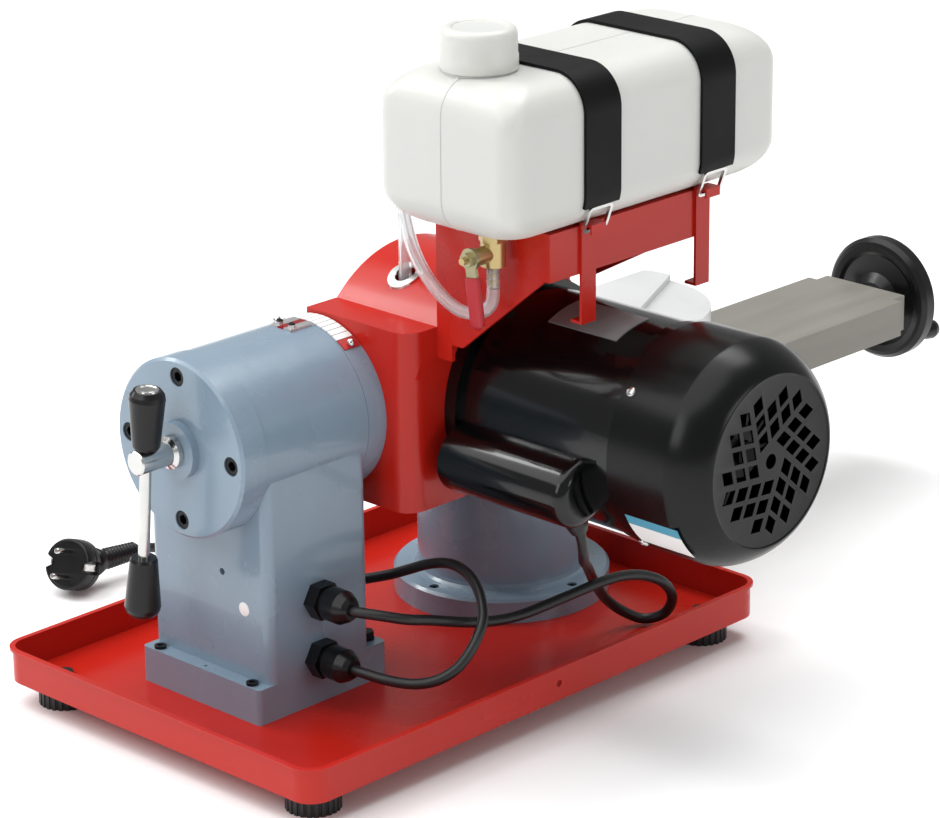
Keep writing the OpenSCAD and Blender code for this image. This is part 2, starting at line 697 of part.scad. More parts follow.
module fan_cover_screws() color(bright) place() along_y(motor_x, grille_y, axis_z)
    for (a = [38:90:308]) at(0, 0, cone_l + cover_l - 7) rotate([0, 0, 180 + a])
        rotate([0, 90, 0]) {
            at(0, 0, cover_d / 2) cylinder(d = 9, h = 2.4, $fn = 32);
            at(0, 0, bell_d / 2) cylinder(d = 4, h = (cover_d - bell_d) / 2 + 0.01, $fn = 24);
        }

// D-shaped cover: a half round and the block that joins it to the shell
capacitor_a = 20;
capacitor_y = flange_y - 2 - capacitor_l;
module capacitor_profile(r) {
    circle(r, $fn = 64);
    translate([0, -r]) square([capacitor_off - shell_d / 2 + 16, 2 * r]);
}
module beside_motor(y) along_y(motor_x, y, axis_z) rotate(180 - capacitor_a)
    translate([capacitor_off, 0, 0]) rotate(180) children();
module capacitor_cover() color(black) place() difference() {
    beside_motor(capacitor_y) linear_extrude(capacitor_l) capacitor_profile(capacitor_r);
    beside_motor(capacitor_y + 2) linear_extrude(capacitor_l - 4) capacitor_profile(capacitor_r - 2);
    along_y(motor_x, capacitor_y - 1, axis_z) cylinder(d = shell_d, h = capacitor_l + 2, $fn = 128);
}
capacitor_d = 26;
module capacitor() color("#2f3133") place() beside_motor(capacitor_y + 20)
    translate([capacitor_d / 2 + 2 + gap - capacitor_r, 0, 0])
        cylinder(d = capacitor_d, h = capacitor_l - 40, $fn = 48);

module motor_nameplate() color("#8d8d8f") place() along_y(motor_x, flange_y - 106, axis_z)
    rotate(244) rotate_extrude(angle = 26, $fn = 128)
        translate([shell_d / 2, 0]) square([0.8, 62]);

outlet_y = capacitor_y + 15;
module cable_outlet() color(black) place()
    beside_motor(outlet_y) rotate([-90, 0, 0]) translate([0, 0, capacitor_r]) difference() {
        rotate_extrude($fn = 48)
            polygon([[0, 0], [8, 0], [8, 4], [6, 10], [0, 10]]);
        at(0, 0, -1) cylinder(d = cable_d + 2 * gap, h = 20, $fn = 32);
    }

// ---------- rotor and grinding wheel ----------

wheel_face_y = axis_y;
disc_y = wheel_face_y - rim_t;
clamp_t = 8;
shaft_end_y = disc_y + disc_t + 10;
fan_y = bell_y - 40;
module rotor() color(steel) place() {
    along_y(motor_x, fan_y - 4, axis_z) cylinder(d = shaft_d, h = shaft_end_y - fan_y + 4, $fn = 64);
    along_y(motor_x, stator_y + 2, axis_z) cylinder(d = rotor_d, h = stator_l - 4, $fn = 96);
}

fan_d = cover_d - 2 * cover_t - 14;
fan_blades = 9;
module cooling_fan() color("#2c2d30") place() along_y(motor_x, fan_y, axis_z) difference() {
    union() {
        cylinder(d = 34, h = 30, $fn = 48);
        at(0, 0, 26) cylinder(d = fan_d * 0.72, h = 3, $fn = 64);
        for (k = [0:fan_blades - 1]) rotate(k * 360 / fan_blades) translate([10, -1.2, 0])
            cube([fan_d / 2 - 10, 2.4, 27]);
    }
    at(0, 0, -1) cylinder(d = shaft_d, h = 40, $fn = 64);
}

module grinding_wheel() color("#b9b3a4") place() along_y(motor_x, disc_y, axis_z)
    rotate_extrude($fn = 128) polygon([
        [shaft_d / 2, 0], [wheel_d / 2, 0], [wheel_d / 2, rim_t], [wheel_d / 2 - rim_ring, rim_t],
        [wheel_d / 2 - rim_ring - 5, disc_t], [shaft_d / 2, disc_t]]);

module wheel_flange() color(steel) place()
    along_y(motor_x, disc_y - clamp_t, axis_z) difference() {
        union() {
            cylinder(d = clamp_d, h = clamp_t, $fn = 64);
            at(0, 0, -22) cylinder(d = 30, h = 23, $fn = 48);
        }
        at(0, 0, -23) cylinder(d = shaft_d, h = clamp_t + 24, $fn = 64);
    }

module wheel_nut() color(steel) place() along_y(motor_x, disc_y + disc_t, axis_z) difference() {
    hexagon(30, 7);
    at(0, 0, -1) cylinder(d = shaft_d, h = 9, $fn = 64);
}

// ---------- tank, bracket and straps ----------

gusset_x = [head_x + 29, head_x + 156];
cradle_z = tank_z - bracket_t;
cradle_y = tank_y0 + 13;
cradle_w = tank_w - 26;
cradle_l = 158;
lip_h = 30;
lip_z = cradle_z - lip_h;
// the bracket's bolts in the head's face: X and Z of each
bracket_bolt = [[hood_x - 48, axis_z + 71], [hood_x - 14, axis_z + 82]];

// outline of a gusset in the YZ plane: tab on the head, sloping lower edge, cradle on top
module gusset(x, foot_z) at(x, 0, 0) rotate([90, 0, 90]) linear_extrude(bracket_t) polygon([
    [face_y, cradle_z], [face_y, foot_z], [face_y - 14, foot_z],
    [face_y - 14, max(foot_z, axis_z + 55)], [face_y - 24, max(foot_z, axis_z + 55)],
    [cradle_y + 5, lip_z], [cradle_y, lip_z], [cradle_y, cradle_z]]);
module tank_bracket() color(red) place() difference() {
    bracket_l = gusset_x[1] - gusset_x[0] + bracket_t;
    union() {
        gusset(gusset_x[0], axis_z + 43);
        gusset(gusset_x[1], axis_z + 76);
        // the cradle, its two lips bent down
        at(gusset_x[0], cradle_y, cradle_z) cube([cradle_l, cradle_w, bracket_t]);
        for (y = [cradle_y, cradle_y + cradle_w - bracket_t]) at(gusset_x[0], y, lip_z)
            cube([cradle_l, bracket_t, lip_h + bracket_t]);
        // the plate bolted to the head
        at(gusset_x[0], face_y - bracket_t, axis_z + 62)
            cube([bracket_l, bracket_t, tank_z - 16 - axis_z - 62]);
    }
    for (b = bracket_bolt) along_y(b[0], face_y - bracket_t - 1, b[1])
        cylinder(d = 6.2, h = bracket_t + 2, $fn = 24);
    // room for the motor's flange
    along_y(motor_x, face_y - bracket_t - 1, axis_z)
        cylinder(d = flange_d + 2, h = bracket_t + 2, $fn = 128);
    // the cradle is open under the middle of the tank
    at(gusset_x[0] + 30, cradle_y + 24, cradle_z - 1)
        cube([cradle_l - 60, cradle_w - 48, bracket_t + 2]);
}
module bracket_bolts() color(bright) place() for (b = bracket_bolt)
    along_y(b[0], face_y - bracket_t, b[1]) {
        at(0, 0, -4) hexagon(9, 4);
        at(0, 0, -0.01) cylinder(d = 6, h = bracket_t + face_t, $fn = 24);
    }

// a box with every edge rounded: three round-cornered outlines crossed
module tank_form(inset) {
    r = tank_r - inset;
    l = tank_l - 2 * inset;
    w = tank_w - 2 * inset;
    h = tank_h - 2 * inset;
    at(tank_x0 + inset, tank_y0 + inset, tank_z + inset) intersection() {
        linear_extrude(h) round_rect(l, w, tank_corner_r - inset);
        rotate([90, 0, 90]) linear_extrude(l) round_rect(w, h, r);
        translate([0, w, 0]) rotate([90, 0, 0]) linear_extrude(w) round_rect(l, h, r);
    }
}
neck_x = tank_x0 + 43;
neck_y = tank_y0 + 68;
neck_d = tank_cap_d - 8;
neck_h = tank_cap_h - 2 - gap;
valve_x = gusset_x[0] - 14;
valve_y = tank_y0 + 51;
module coolant_tank() color(white) place() difference() {
    union() {
        tank_form(0);
        at(neck_x, neck_y, tank_z + tank_h - 3) cylinder(d = neck_d, h = neck_h + 3, $fn = 64);
        at(neck_x, neck_y, tank_z + tank_h - 3) cylinder(d = neck_d + 6, h = 4, $fn = 64);
    }
    tank_form(tank_wall);
    at(neck_x, neck_y, tank_z + tank_h - 8) cylinder(d = neck_d - 5, h = neck_h + 12, $fn = 64);
    at(valve_x, valve_y, tank_z - 1) cylinder(d = 8, h = tank_wall + 3, $fn = 24);
}

cap_z = tank_z + tank_h + 1 + gap;
module tank_cap() color("#eeeeea") place() at(neck_x, neck_y, cap_z) difference() {
    union() {
        cylinder(d = tank_cap_d, h = 5, $fn = 96);
        at(0, 0, 5) cylinder(d = tank_cap_d - 2, h = tank_cap_h - 6, $fn = 96);
        at(0, 0, tank_cap_h - 1) cylinder(d1 = tank_cap_d - 2, d2 = tank_cap_d - 5, h = 1, $fn = 96);
    }
    at(0, 0, -1) cylinder(d = neck_d + 2 * gap, h = tank_cap_h - 1, $fn = 64);
}

strap_x = [neck_x + (tank_cap_d + strap_w) / 2 + 0.7, tank_x0 + 202];
tank_yc = tank_y0 + tank_w / 2;
// the straps end this far round the tank's lower edges
strap_wrap = 20;
// the tank's outline in the YZ plane, grown
module strap_form(grow) translate([tank_y0 - grow, tank_z - grow])
    round_rect(tank_w + 2 * grow, tank_h + 2 * grow, tank_r + grow);
// what lies between the strap's two ends, open downwards
module strap_open() polygon([
    [tank_yc, tank_z + tank_r + (tank_w / 2 - tank_r) * tan(strap_wrap)],
    [tank_yc - tank_w, tank_z + tank_r - (tank_w / 2 + tank_r) * tan(strap_wrap)],
    [tank_yc - tank_w, tank_z - tank_h],
    [tank_yc + tank_w, tank_z - tank_h],
    [tank_yc + tank_w, tank_z + tank_r - (tank_w / 2 + tank_r) * tan(strap_wrap)]]);
module straps() color(rubber) place() for (x = strap_x)
    at(x - strap_w / 2, 0, 0) rotate([90, 0, 90]) linear_extrude(strap_w) difference() {
        strap_form(strap_t);
        strap_form(gap);
        strap_open();
    }

// things repeated on the far side of the tank
module both_sides() {
    children();
    at(0, 2 * tank_yc, 0) mirror([0, 1, 0]) children();
}
// a square ring hangs from each end of a strap, along the tangent
ring_d = 2.4;
ring_w = 24;
ring_h = 20;
module ring() rotate([90, 0, 0]) linear_extrude(ring_d, center = true) difference() {
    translate([-ring_w / 2, -ring_h]) round_rect(ring_w, ring_h, 4);
    translate([-ring_w / 2 + ring_d, -ring_h + ring_d])
        round_rect(ring_w - 2 * ring_d, ring_h - 2 * ring_d, 2);
}
module strap_rings() color(bright) place() both_sides() for (x = strap_x)
    at(x, tank_y0 + tank_r, tank_z + tank_r) rotate([strap_wrap, 0, 0])
        translate([0, -tank_r - strap_t / 2 - 0.2, 0]) ring();

// flat steel hooks on the lips of the cradle: a foot bent inwards below, a hook over the ring above
hook_w = 14;
hook_t = 2;
hook_foot = 10;
hook_out = 9;
hook_z = tank_z - 68;
module strap_hooks() color(red) place() both_sides() for (x = strap_x)
    at(x - hook_w / 2, cradle_y - hook_t, 0) {
        at(0, 0, hook_z) cube([hook_w, hook_t, tank_z + 2 - hook_z]);
        at(0, 0, hook_z) cube([hook_w, hook_foot, hook_t]);
        at(0, -hook_out, tank_z + 0.4) cube([hook_w, hook_out + hook_t, hook_t]);
        at(0, -hook_out, tank_z - 4) cube([hook_w, hook_t - 0.5, hook_t + 4.4]);
    }

// ---------- valve and hose ----------

valve_z = tank_z - 16;
barb_z = valve_z - 24;
module valve_body() color(brass) place() difference() {
    union() {
        at(valve_x, valve_y, valve_z - 9) cylinder(d = 17, h = 18, $fn = 48);
        at(valve_x, valve_y, valve_z + 8) hexagon(17, 8);
        along_x(valve_x - 20, valve_y, valve_z) cylinder(d = 12, h = 20, $fn = 32);
        at(valve_x, valve_y, barb_z) cylinder(d = hose_d - 3, h = 24, $fn = 32);
        for (k = [0:3]) at(valve_x, valve_y, barb_z + 1 + 5 * k)
            cylinder(d1 = hose_d - 3, d2 = hose_d - 2, h = 4, $fn = 32);
        along_x(valve_x - 30, valve_y, valve_z) cylinder(d = 5, h = 12, $fn = 32);
    }
    at(valve_x, valve_y, barb_z - 1) cylinder(d = 3.5, h = 60, $fn = 24);
}
valve_lean = 8;
lever_l = 46;
lever_x = valve_x - 20 - gap - 2.4;
module valve_lever() color("#b3202a") place() difference() {
    union() {
        at(lever_x, valve_y, valve_z) rotate([-valve_lean, 0, 0]) rotate([90, 0, 90]) linear_extrude(2.4) {
            circle(d = 15, $fn = 32);
            translate([-4.5, -lever_l]) square([9, lever_l]);
        }
        along_x(lever_x - 4, valve_y, valve_z) hexagon(9, 5);
    }
    along_x(valve_x - 31, valve_y, valve_z) cylinder(d = 5 + 2 * fit, h = 12, $fn = 32);
}

// the hose: off the barb, round under the tank's far edge and down into the hood
hood_top = axis_z + hood_r;
hose_path = [
    [valve_x, valve_y, barb_z - gap], [valve_x, valve_y + 2, barb_z - 12],
    [valve_x - 1.5, valve_y + 11, barb_z - 20], [valve_x - 4, valve_y + 25, barb_z - 21.5],
    [valve_x - 5, valve_y + 39, barb_z - 16.5], [valve_x - 5, valve_y + 52, barb_z - 8],
    [valve_x - 5, valve_y + 63, barb_z + 3], [valve_x - 4, valve_y + 72, barb_z + 15.5],
    [valve_x - 2, valve_y + 79, barb_z + 29], [valve_x + 2, valve_y + 87, barb_z + 40.5],
    [valve_x + 11, valve_y + 96, barb_z + 46.5], [valve_x + 22, valve_y + 106, barb_z + 43],
    [valve_x + 30, valve_y + 113, barb_z + 32], [valve_x + 35, valve_y + 118, barb_z + 18],
    [grommet_x - 2, grommet_y - 2, hood_top + 21], [grommet_x - 0.5, grommet_y - 0.5, hood_top + 7],
    [grommet_x, grommet_y, hood_top - 8], [grommet_x, grommet_y, hood_top - 22]];
module coolant_hose() color("#dfe3e4") place() tube_along(hose_path, hose_d, 12);

// ---------- blade arm ----------

module swivel_plate() color(steel) place() at(ped_x, axis_y, swivel_z) difference() {
    cylinder(d = ped_d - 4, h = swivel_t, $fn = 96);
    at(0, 0, -1) cylinder(d = pin_d + 2 * fit, h = swivel_t + 2, $fn = 64);
}

slot_in = arm_w - 2 * arm_wall;
module arm_channel() color(steel) place() difference() {
    at(arm_x0, axis_y - arm_w / 2, arm_z) cube([arm_l, arm_w, arm_h]);
    // open underneath from the swivel plate outwards
    at(ped_x + ped_d / 2, axis_y - slot_in / 2, arm_z - 1)
        cube([arm_l, slot_in, arm_h - arm_wall + 1]);
    at(ped_x, axis_y, arm_z - 1) cylinder(d = pin_d + 2 * fit, h = arm_h - 6, $fn = 64);
}

module arm_end_plate() color(steel) place() difference() {
    at(arm_x1, axis_y - arm_w / 2 + 8, arm_z) cube([end_plate_t, arm_w - 16, arm_h]);
    along_x(arm_x1 - 1, axis_y, screw_z) cylinder(d = screw_d - 4 + 2 * fit, h = end_plate_t + 2, $fn = 48);
}

screw_x0 = ped_x + ped_d / 2 + 2;
module lead_screw() color(bright) place() {
    along_x(screw_x0, axis_y, screw_z) cylinder(d = screw_d, h = arm_x1 - gap - screw_x0, $fn = 48);
    along_x(arm_x1 - gap - 0.01, axis_y, screw_z)
        cylinder(d = screw_d - 4, h = end_plate_t + handwheel_hub_l + 2 * gap, $fn = 48);
}

// dished wheel: hub towards the arm, rim outside; its crank handle turns on a pin
crank_r = 42;
crank_a = 218;
crank_pin = 6;
handwheel_z = handwheel_hub_l + handwheel_t;
module on_crank() along_x(wheel_x, axis_y, screw_z) rotate(crank_a + 90)
    translate([crank_r, 0, handwheel_z]) children();
module handwheel() color(black) place() {
    along_x(wheel_x, axis_y, screw_z) difference() {
        rotate_extrude($fn = 96) polygon([
            [0, 0], [13, 0], [15, 7], [22, 13], [36, 15], [39, 13], [44, 12], [47, 13],
            [handwheel_d / 2, 17], [handwheel_d / 2, handwheel_z - 4], [46, handwheel_z],
            [36, handwheel_z], [30, handwheel_z - 9], [15, handwheel_z - 10], [13, handwheel_z - 6],
            [0, handwheel_z - 6]]);
        at(0, 0, -1) cylinder(d = screw_d - 4, h = handwheel_hub_l + 1, $fn = 48);
    }
    on_crank() at(0, 0, -1) cylinder(d = crank_pin, h = crank_l - 3, $fn = 32);
}
module crank_handle() color(black) place() on_crank() at(0, 0, gap) difference() {
    rotate_extrude($fn = 48) polygon([[0, 0], [6, 0], [8, crank_l * 0.7], [7, crank_l - gap - 1],
        [5.5, crank_l - gap], [0, crank_l - gap]]);
    at(0, 0, -1) cylinder(d = crank_pin + 2 * fit, h = crank_l - 3, $fn = 48);
}

table_z = axis_z - 10;
saddle_z = arm_z - carriage_wall - gap;
saddle_h = arm_h + 2 * carriage_wall + 2 * gap;
nut_w = 30;
module carriage() color("#7d7f80") place() difference() {
    union() {
        at(spindle_x - carriage_l / 2, axis_y - arm_w / 2 - carriage_wall - gap, saddle_z)
            cube([carriage_l, arm_w + 2 * carriage_wall + 2 * gap, saddle_h]);
        at(spindle_x, axis_y, saddle_z + saddle_h - 1)
            cylinder(d = 60, h = table_z - table_t - saddle_z - saddle_h + 1, $fn = 64);
    }
    difference() {
        at(spindle_x - carriage_l, axis_y - arm_w / 2 - gap, arm_z - gap)
            cube([2 * carriage_l, arm_w + 2 * gap, arm_h + 2 * gap]);
        // the nut reaches up inside the arm
        at(spindle_x - nut_w / 2, axis_y - nut_w / 2, arm_z - gap - 1)
            cube([nut_w, nut_w, arm_h - arm_wall + 0.4]);
    }
    along_x(spindle_x - carriage_l, axis_y, screw_z)
        cylinder(d = screw_d + 2 * fit, h = 2 * carriage_l, $fn = 48);
    at(spindle_x, axis_y, table_z - table_t - 12)
        cylinder(d = spindle_d + 2 * fit, h = 40, $fn = 64);
}

table_x0 = spindle_x - table_l / 2 + 1;
table_y0 = axis_y - 55;
module table_plan() intersection() {
    translate([table_x0, table_y0]) square([table_l + 2, table_w]);
    translate([table_x0 + table_l - table_r, table_y0 + table_r - 3]) circle(r = table_r, $fn = 128);
}
module blade_table() color(bright) place() difference() {
    union() {
        at(0, 0, table_z - table_t) linear_extrude(table_t) table_plan();
        // raised step over the far half, its edge running slantwise
        at(0, 0, table_z - 1) linear_extrude(table_step + 1) intersection() {
            table_plan();
            translate([table_x0, axis_y - 19]) rotate(26.2) square([2 * table_l, table_w]);
        }
    }
    at(spindle_x, axis_y, table_z - table_t - 1)
        cylinder(d = spindle_d + 2 * fit, h = table_t - 3 + fit, $fn = 64);
}

// pin in the carriage that the table sits on
module table_pin() color(bright) place()
    at(spindle_x, axis_y, table_z - table_t - 12) cylinder(d = spindle_d, h = table_t + 8, $fn = 64);

// ---------- cables ----------

// off the capacitor cover, down in a bight over the tray and back to the upper gland
motor_cable_path = [
    [233.3, -21, 149.9], [236.3, -21, 141.6], [241, -18, 131.5], [250, -10, 121], [263, 1, 112],
    [280, 15, 102],
    [296, 28, 91], [312, 40, 78], [328, 49, 62], [343, 53, 46], [358, 51, 33], [372, 43, 25],
    [381, 31, 30], [379, 22, 45], [368, 20, 60], [351, 23, 70], [331, 26, 75], [310, 28, 76],
    [276, 32, 73.5], [244, 36, 71], [222, 38, 72], [200, 40, 76], [179, 42, 82], [159, 47, 88],
    [142, 53, 92], [129, 64, 95.5], [gland_x + 1.5, gland_seat - 34, gland_z[1]],
    [gland_x, gland_seat - 26, gland_z[1]], [gland_x, gland_seat, gland_z[1]]];
// off the lower gland, round behind the stand, over the tray's far rim to the floor
mains_lead_path = [
    [gland_x, gland_seat, gland_z[0]], [gland_x, gland_seat - 27, gland_z[0]],
    [gland_x + 2, gland_seat - 38, 53.2], [125, 61, 51.5], [131, 50, 50], [138, 39, 50],
    [147, 29, 53], [158, 23, 59], [169, 21, 68], [180, 23, 77],
    [190, 28, 85], [199, 38, 93], [206, 50, 99], [211, 63, 102.5], [214, 77, 103.5],
    [215, 91, 101.5], [213, 105, 97], [210, 118, 91], [206, 131, 85], [203, 144, 80],
    [199, 164, 73], [197, 184, 67], [197.5, 205, 61], [201, 234, 56], [206, 262, 54],
    [212, 283, 53], [216, 297, 52.5], [221, 310, 51], [228, 322, 47], [240, 338, 38],
    [255, 353, 27], [268, 364, 17], [280, 378, 8], [286, 394, 4.2], [283, 409, 5],
    [272, 420, 9], [256, 425, 14], [240, 425.5, 18.3], [230, 425.5, 19.5], [221.3, 425.5, 19.5]];
module motor_cable() color(rubber) place() tube_along(motor_cable_path, cable_d, 10);
module mains_lead() color(rubber) place() tube_along(mains_lead_path, cable_d, 10);

plug_d = 39;
plug_turn = -7;
module mains_plug() color(rubber) place()
    at(221, 425.5, 19.5) rotate([0, 0, plug_turn]) rotate([0, -90, 0]) {
        rotate_extrude($fn = 48) polygon([[0, 0], [6, 0], [8, 26], [12, 32], [14, 40],
            [plug_d / 2 - 1, 46], [plug_d / 2, 48], [plug_d / 2, 64], [plug_d / 2 - 1, 66], [0, 66]]);
        for (s = [-1, 1]) at(s * 9.5, 0, 65.9) cylinder(d = 4.8, h = 19, $fn = 24);
    }

tray();
feet();
stand();
stand_bolts();
end_cap();
cap_screws();
pointer_plate();
upper_gland();
lower_gland();
pedestal();
pedestal_bolts();
switch_box();
start_button();
stop_button();
motor_cable();
mains_lead();
mains_plug();
clamp_hub();
lever_bar();
lever_grips();
tilt_spindle();
angle_scale();
head_housing();
hood_grommet();
motor_front_bell();
motor_shell();
stator();
motor_rear_bell();
motor_bearings();
motor_bolts();
fan_cover();
fan_cover_screws();
capacitor_cover();
capacitor();
motor_nameplate();
cable_outlet();
rotor();
cooling_fan();
grinding_wheel();
wheel_flange();
wheel_nut();
tank_bracket();
bracket_bolts();
coolant_tank();
tank_cap();
straps();
strap_rings();
strap_hooks();
valve_body();
valve_lever();
coolant_hose();
swivel_plate();
arm_channel();
arm_end_plate();
lead_screw();
handwheel();
crank_handle();
carriage();
blade_table();
table_pin();
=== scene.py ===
import math
import bpy
import numpy as np
from mathutils import Matrix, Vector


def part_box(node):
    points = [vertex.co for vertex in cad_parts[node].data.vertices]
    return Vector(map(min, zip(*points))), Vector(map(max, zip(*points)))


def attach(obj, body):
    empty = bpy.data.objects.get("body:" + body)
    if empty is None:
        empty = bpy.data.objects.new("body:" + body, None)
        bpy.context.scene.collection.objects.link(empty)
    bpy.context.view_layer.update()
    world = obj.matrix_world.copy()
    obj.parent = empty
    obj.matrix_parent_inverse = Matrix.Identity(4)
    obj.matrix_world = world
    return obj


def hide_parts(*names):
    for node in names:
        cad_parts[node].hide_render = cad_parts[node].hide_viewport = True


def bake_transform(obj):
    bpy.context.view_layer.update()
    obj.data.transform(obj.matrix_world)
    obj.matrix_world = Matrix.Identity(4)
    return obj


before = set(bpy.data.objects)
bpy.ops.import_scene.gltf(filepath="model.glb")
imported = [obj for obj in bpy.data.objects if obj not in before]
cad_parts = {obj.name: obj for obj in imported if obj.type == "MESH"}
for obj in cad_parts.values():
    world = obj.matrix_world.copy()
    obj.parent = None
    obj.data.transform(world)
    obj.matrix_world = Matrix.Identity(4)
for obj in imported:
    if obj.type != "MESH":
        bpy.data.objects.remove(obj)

bl_info = {
    "name": "Wet Grinding Sharpener",
    "version": (1, 0, 0),
    "blender": (4, 5, 0),
    "location": "View3D > Sidebar > Sharpener",
    "description": "Dresses the wet grinding sharpener's frame with its cords, fittings and finishes",
    "category": "Add Mesh",
}

# ---------- places, in millimetres: x from the tray's left, y from its near side, z up ----------

MIDDLE = np.array([418.15, 90.5, 0.0])
AXIS_Y, AXIS_Z = 175.0, 209.0
MOTOR_X = 300.0
TANK_MIN = np.array([163.0, -26.0, 360.0])
TANK_SIZE = np.array([270.0, 124.0, 104.0])
TANK_CORNER = 25.0
FAN_FACE_Y = -133.0
COVER_END, COVER_R, COVER_WALL = 77.0, 78.6, 1.6
SHOULDER_R, SHOULDER_DEPTH, SHOULDER_POWER = 59.9, 28, 2 / 1.4
COVER_SCREW_Y = -63.0
LABEL_REACH = (-112, -66)
CAPACITOR_TURN = math.radians(20)
CAPACITOR_OFF, CAPACITOR_R = 83.0, 23.0
CAPACITOR_ENDS = (-36.0, 80.0)
STICKER = np.array([73.0, 140.0, 96.0])
POINTER_SCREWS = np.array([151.0, AXIS_Y, 274.0])
SCALE_SCREW_X, SCALE_SCREW_R = 177.0, 65.2
SLEEVE_X, SLEEVE_START, SLEEVE_LENGTH = 178.5, 12.5, 35.5
GRIP_END = 50.7
LEVER_LEAN = math.radians(5)
VALVE_LEAN = math.radians(8)
NECK = np.array([206.0, 42.0, 465.3])
VALVE = np.array([200.0, 25.0, 344.0])
GLAND_X, GLAND_SEAT = 118.87, 110.5
PLUG_SEAT = np.array([221.0, 425.5, 19.5])
PLUG_TURN = math.radians(-7)
PLUG_R = 19.5
PLUG_FACE = np.array([-0.88, -0.27, 0.37])
PIN_OFF = 9.5
CAP_R, CAP_H = 26.0, 28.0
NECK_R = 19.5
SCALE_RED = math.radians(30)
FLOOR_HALF = 30000.0

MOTOR_CABLE_ROUTE = [
    [233.3, -21, 149.9], [236.3, -21, 141.6], [241, -18, 131.5], [250, -10, 121], [263, 1, 112],
    [280, 15, 102], [296, 28, 91], [312, 40, 78], [328, 49, 62], [343, 53, 46], [358, 51, 33],
    [372, 43, 25], [381, 31, 30], [379, 22, 45], [368, 20, 60], [351, 23, 70], [331, 26, 75],
    [310, 28, 76], [276, 32, 73.5], [244, 36, 71], [222, 38, 72], [200, 40, 76], [179, 42, 82],
    [159, 47, 88], [142, 53, 92], [129, 64, 95.5], [GLAND_X + 1.5, GLAND_SEAT - 34, 97],
    [GLAND_X, GLAND_SEAT - 26, 97], [GLAND_X, GLAND_SEAT, 97]]
MAINS_LEAD_ROUTE = [
    [GLAND_X, GLAND_SEAT, 54], [GLAND_X, GLAND_SEAT - 27, 54], [GLAND_X + 2, GLAND_SEAT - 38, 53.2],
    [125, 61, 51.5], [131, 50, 50], [138, 39, 50], [147, 29, 53], [158, 23, 59], [169, 21, 68],
    [180, 23, 77], [190, 28, 85], [199, 38, 93], [206, 50, 99], [211, 63, 102.5],
    [214, 77, 103.5], [215, 91, 101.5], [213, 105, 97], [210, 118, 91], [206, 131, 85],
    [203, 144, 80], [199, 164, 73], [197, 184, 67], [197.5, 205, 61], [201, 234, 56],
    [206, 262, 54], [212, 283, 53], [216, 297, 52.5], [221, 310, 51], [228, 322, 47],
    [240, 338, 37], [255, 352, 25.5], [268.5, 362, 16.5], [280.5, 374.5, 9.6], [287.5, 391, 5.6],
    [285, 407.5, 4.4], [274.5, 420, 6.2], [259, 425.8, 10.2], [243, 426.3, 14.8],
    [231, 426, 18.3], [221.3, 425.5, 19.5]]
BARB_Z = VALVE[2] - 24
HOSE_ROUTE = [
    [200, 25, BARB_Z - 0.3], [200, 27, 308], [199, 36, 300], [196, 50, 298.5],
    [195, 64, 303.5], [195, 77, 312], [195, 88, 323], [196, 97, 335.5], [198, 104, 349],
    [202, 112, 360.5], [211, 121, 366.5], [222, 131, 363], [230, 138, 352], [235, 143, 338],
    [238, 146, 324], [239.5, 147.5, 310], [240, 148, 295], [240, 148, 281]]


def to_frame(points):
    """Millimetres from the tray's corner to metres in the shared frame: (p - middle) / 1000."""
    return (np.asarray(points, float) - MIDDLE) / 1000


# ---------- sizes and colours a user would change ----------

def tint(label, text, srgb):
    """A colour property from an sRGB triple of 0 to 255."""
    c = np.array(srgb) / 255
    lin = np.where(c <= 0.04045, c / 12.92, ((c + 0.055) / 1.055) ** 2.4)
    return bpy.props.FloatVectorProperty(
        name=label, description=text, subtype="COLOR", size=3, min=0, max=1,
        default=[float(v) for v in lin])


def length(label, text, metres):
    """A length property in metres."""
    return bpy.props.FloatProperty(
        name=label, description=text, default=metres, min=0, subtype="DISTANCE", unit="LENGTH")


class SharpenerColours(bpy.types.PropertyGroup):
    red: tint("Red enamel", "Tray, head and bracket", (184, 33, 22))
    casting: tint("Casting paint", "Stand, housing and pedestal", (126, 146, 163))
    motor: tint("Motor enamel", "Motor shell, bells and fan cover", (7, 8, 9))
    tank: tint("Tank plastic", "Coolant tank and cap", (212, 212, 206))
    brass: tint("Brass", "Drain valve", (176, 142, 84))
    sleeve: tint("Dipped sleeve", "Soft sleeve on the valve lever", (168, 20, 32))
    steel: tint("Plain steel", "Arm, plates and carriage", (131, 128, 121))
    zinc: tint("Bright steel", "Screws, lever and rings", (205, 205, 203))
    table: tint("Silver", "Blade table", (214, 215, 215))
    gilt: tint("Yellow zinc", "Valve lever's plate", (168, 160, 128))
    blackened: tint("Blackened steel", "Socket screws and shaft", (26, 27, 30))
    label: tint("Label blue", "Blank label on the fan cover", (78, 152, 178))
    rubber: tint("Cable rubber", "Cables, plug and feet", (22, 22, 24))
    strap: tint("Strap rubber", "Tank straps", (4, 4, 5))
    plastic: tint("Black plastic", "Grips, handwheel and switch box", (14, 14, 16))
    abrasive: tint("Abrasive", "Grinding wheel", (170, 163, 150))
    copper: tint("Winding", "Stator and windings", (120, 74, 48))
    start: tint("Start button", "Green button", (24, 132, 62))
    stop: tint("Stop button", "Red button", (190, 26, 24))


class SharpenerSizes(bpy.types.PropertyGroup):
    cable: length("Cable diameter", "Motor cable and mains lead", 0.0075)
    hose: length("Hose diameter", "Coolant hose", 0.009)
    hose_wall: length("Hose wall", "Wall of the coolant hose", 0.0015)
    tank_wall: length("Tank wall", "Wall of the coolant tank", 0.0025)
    cap_edge: length("Cap rounding", "Rounding of the tank cap's upper edge", 0.005)
    grille_pitch: length("Grille pitch", "Step of the fan cover's diamond holes", 0.0132)
    grille_hole: length("Grille hole", "Side of the fan cover's diamond holes", 0.0096)


# ---------- surfaces ----------

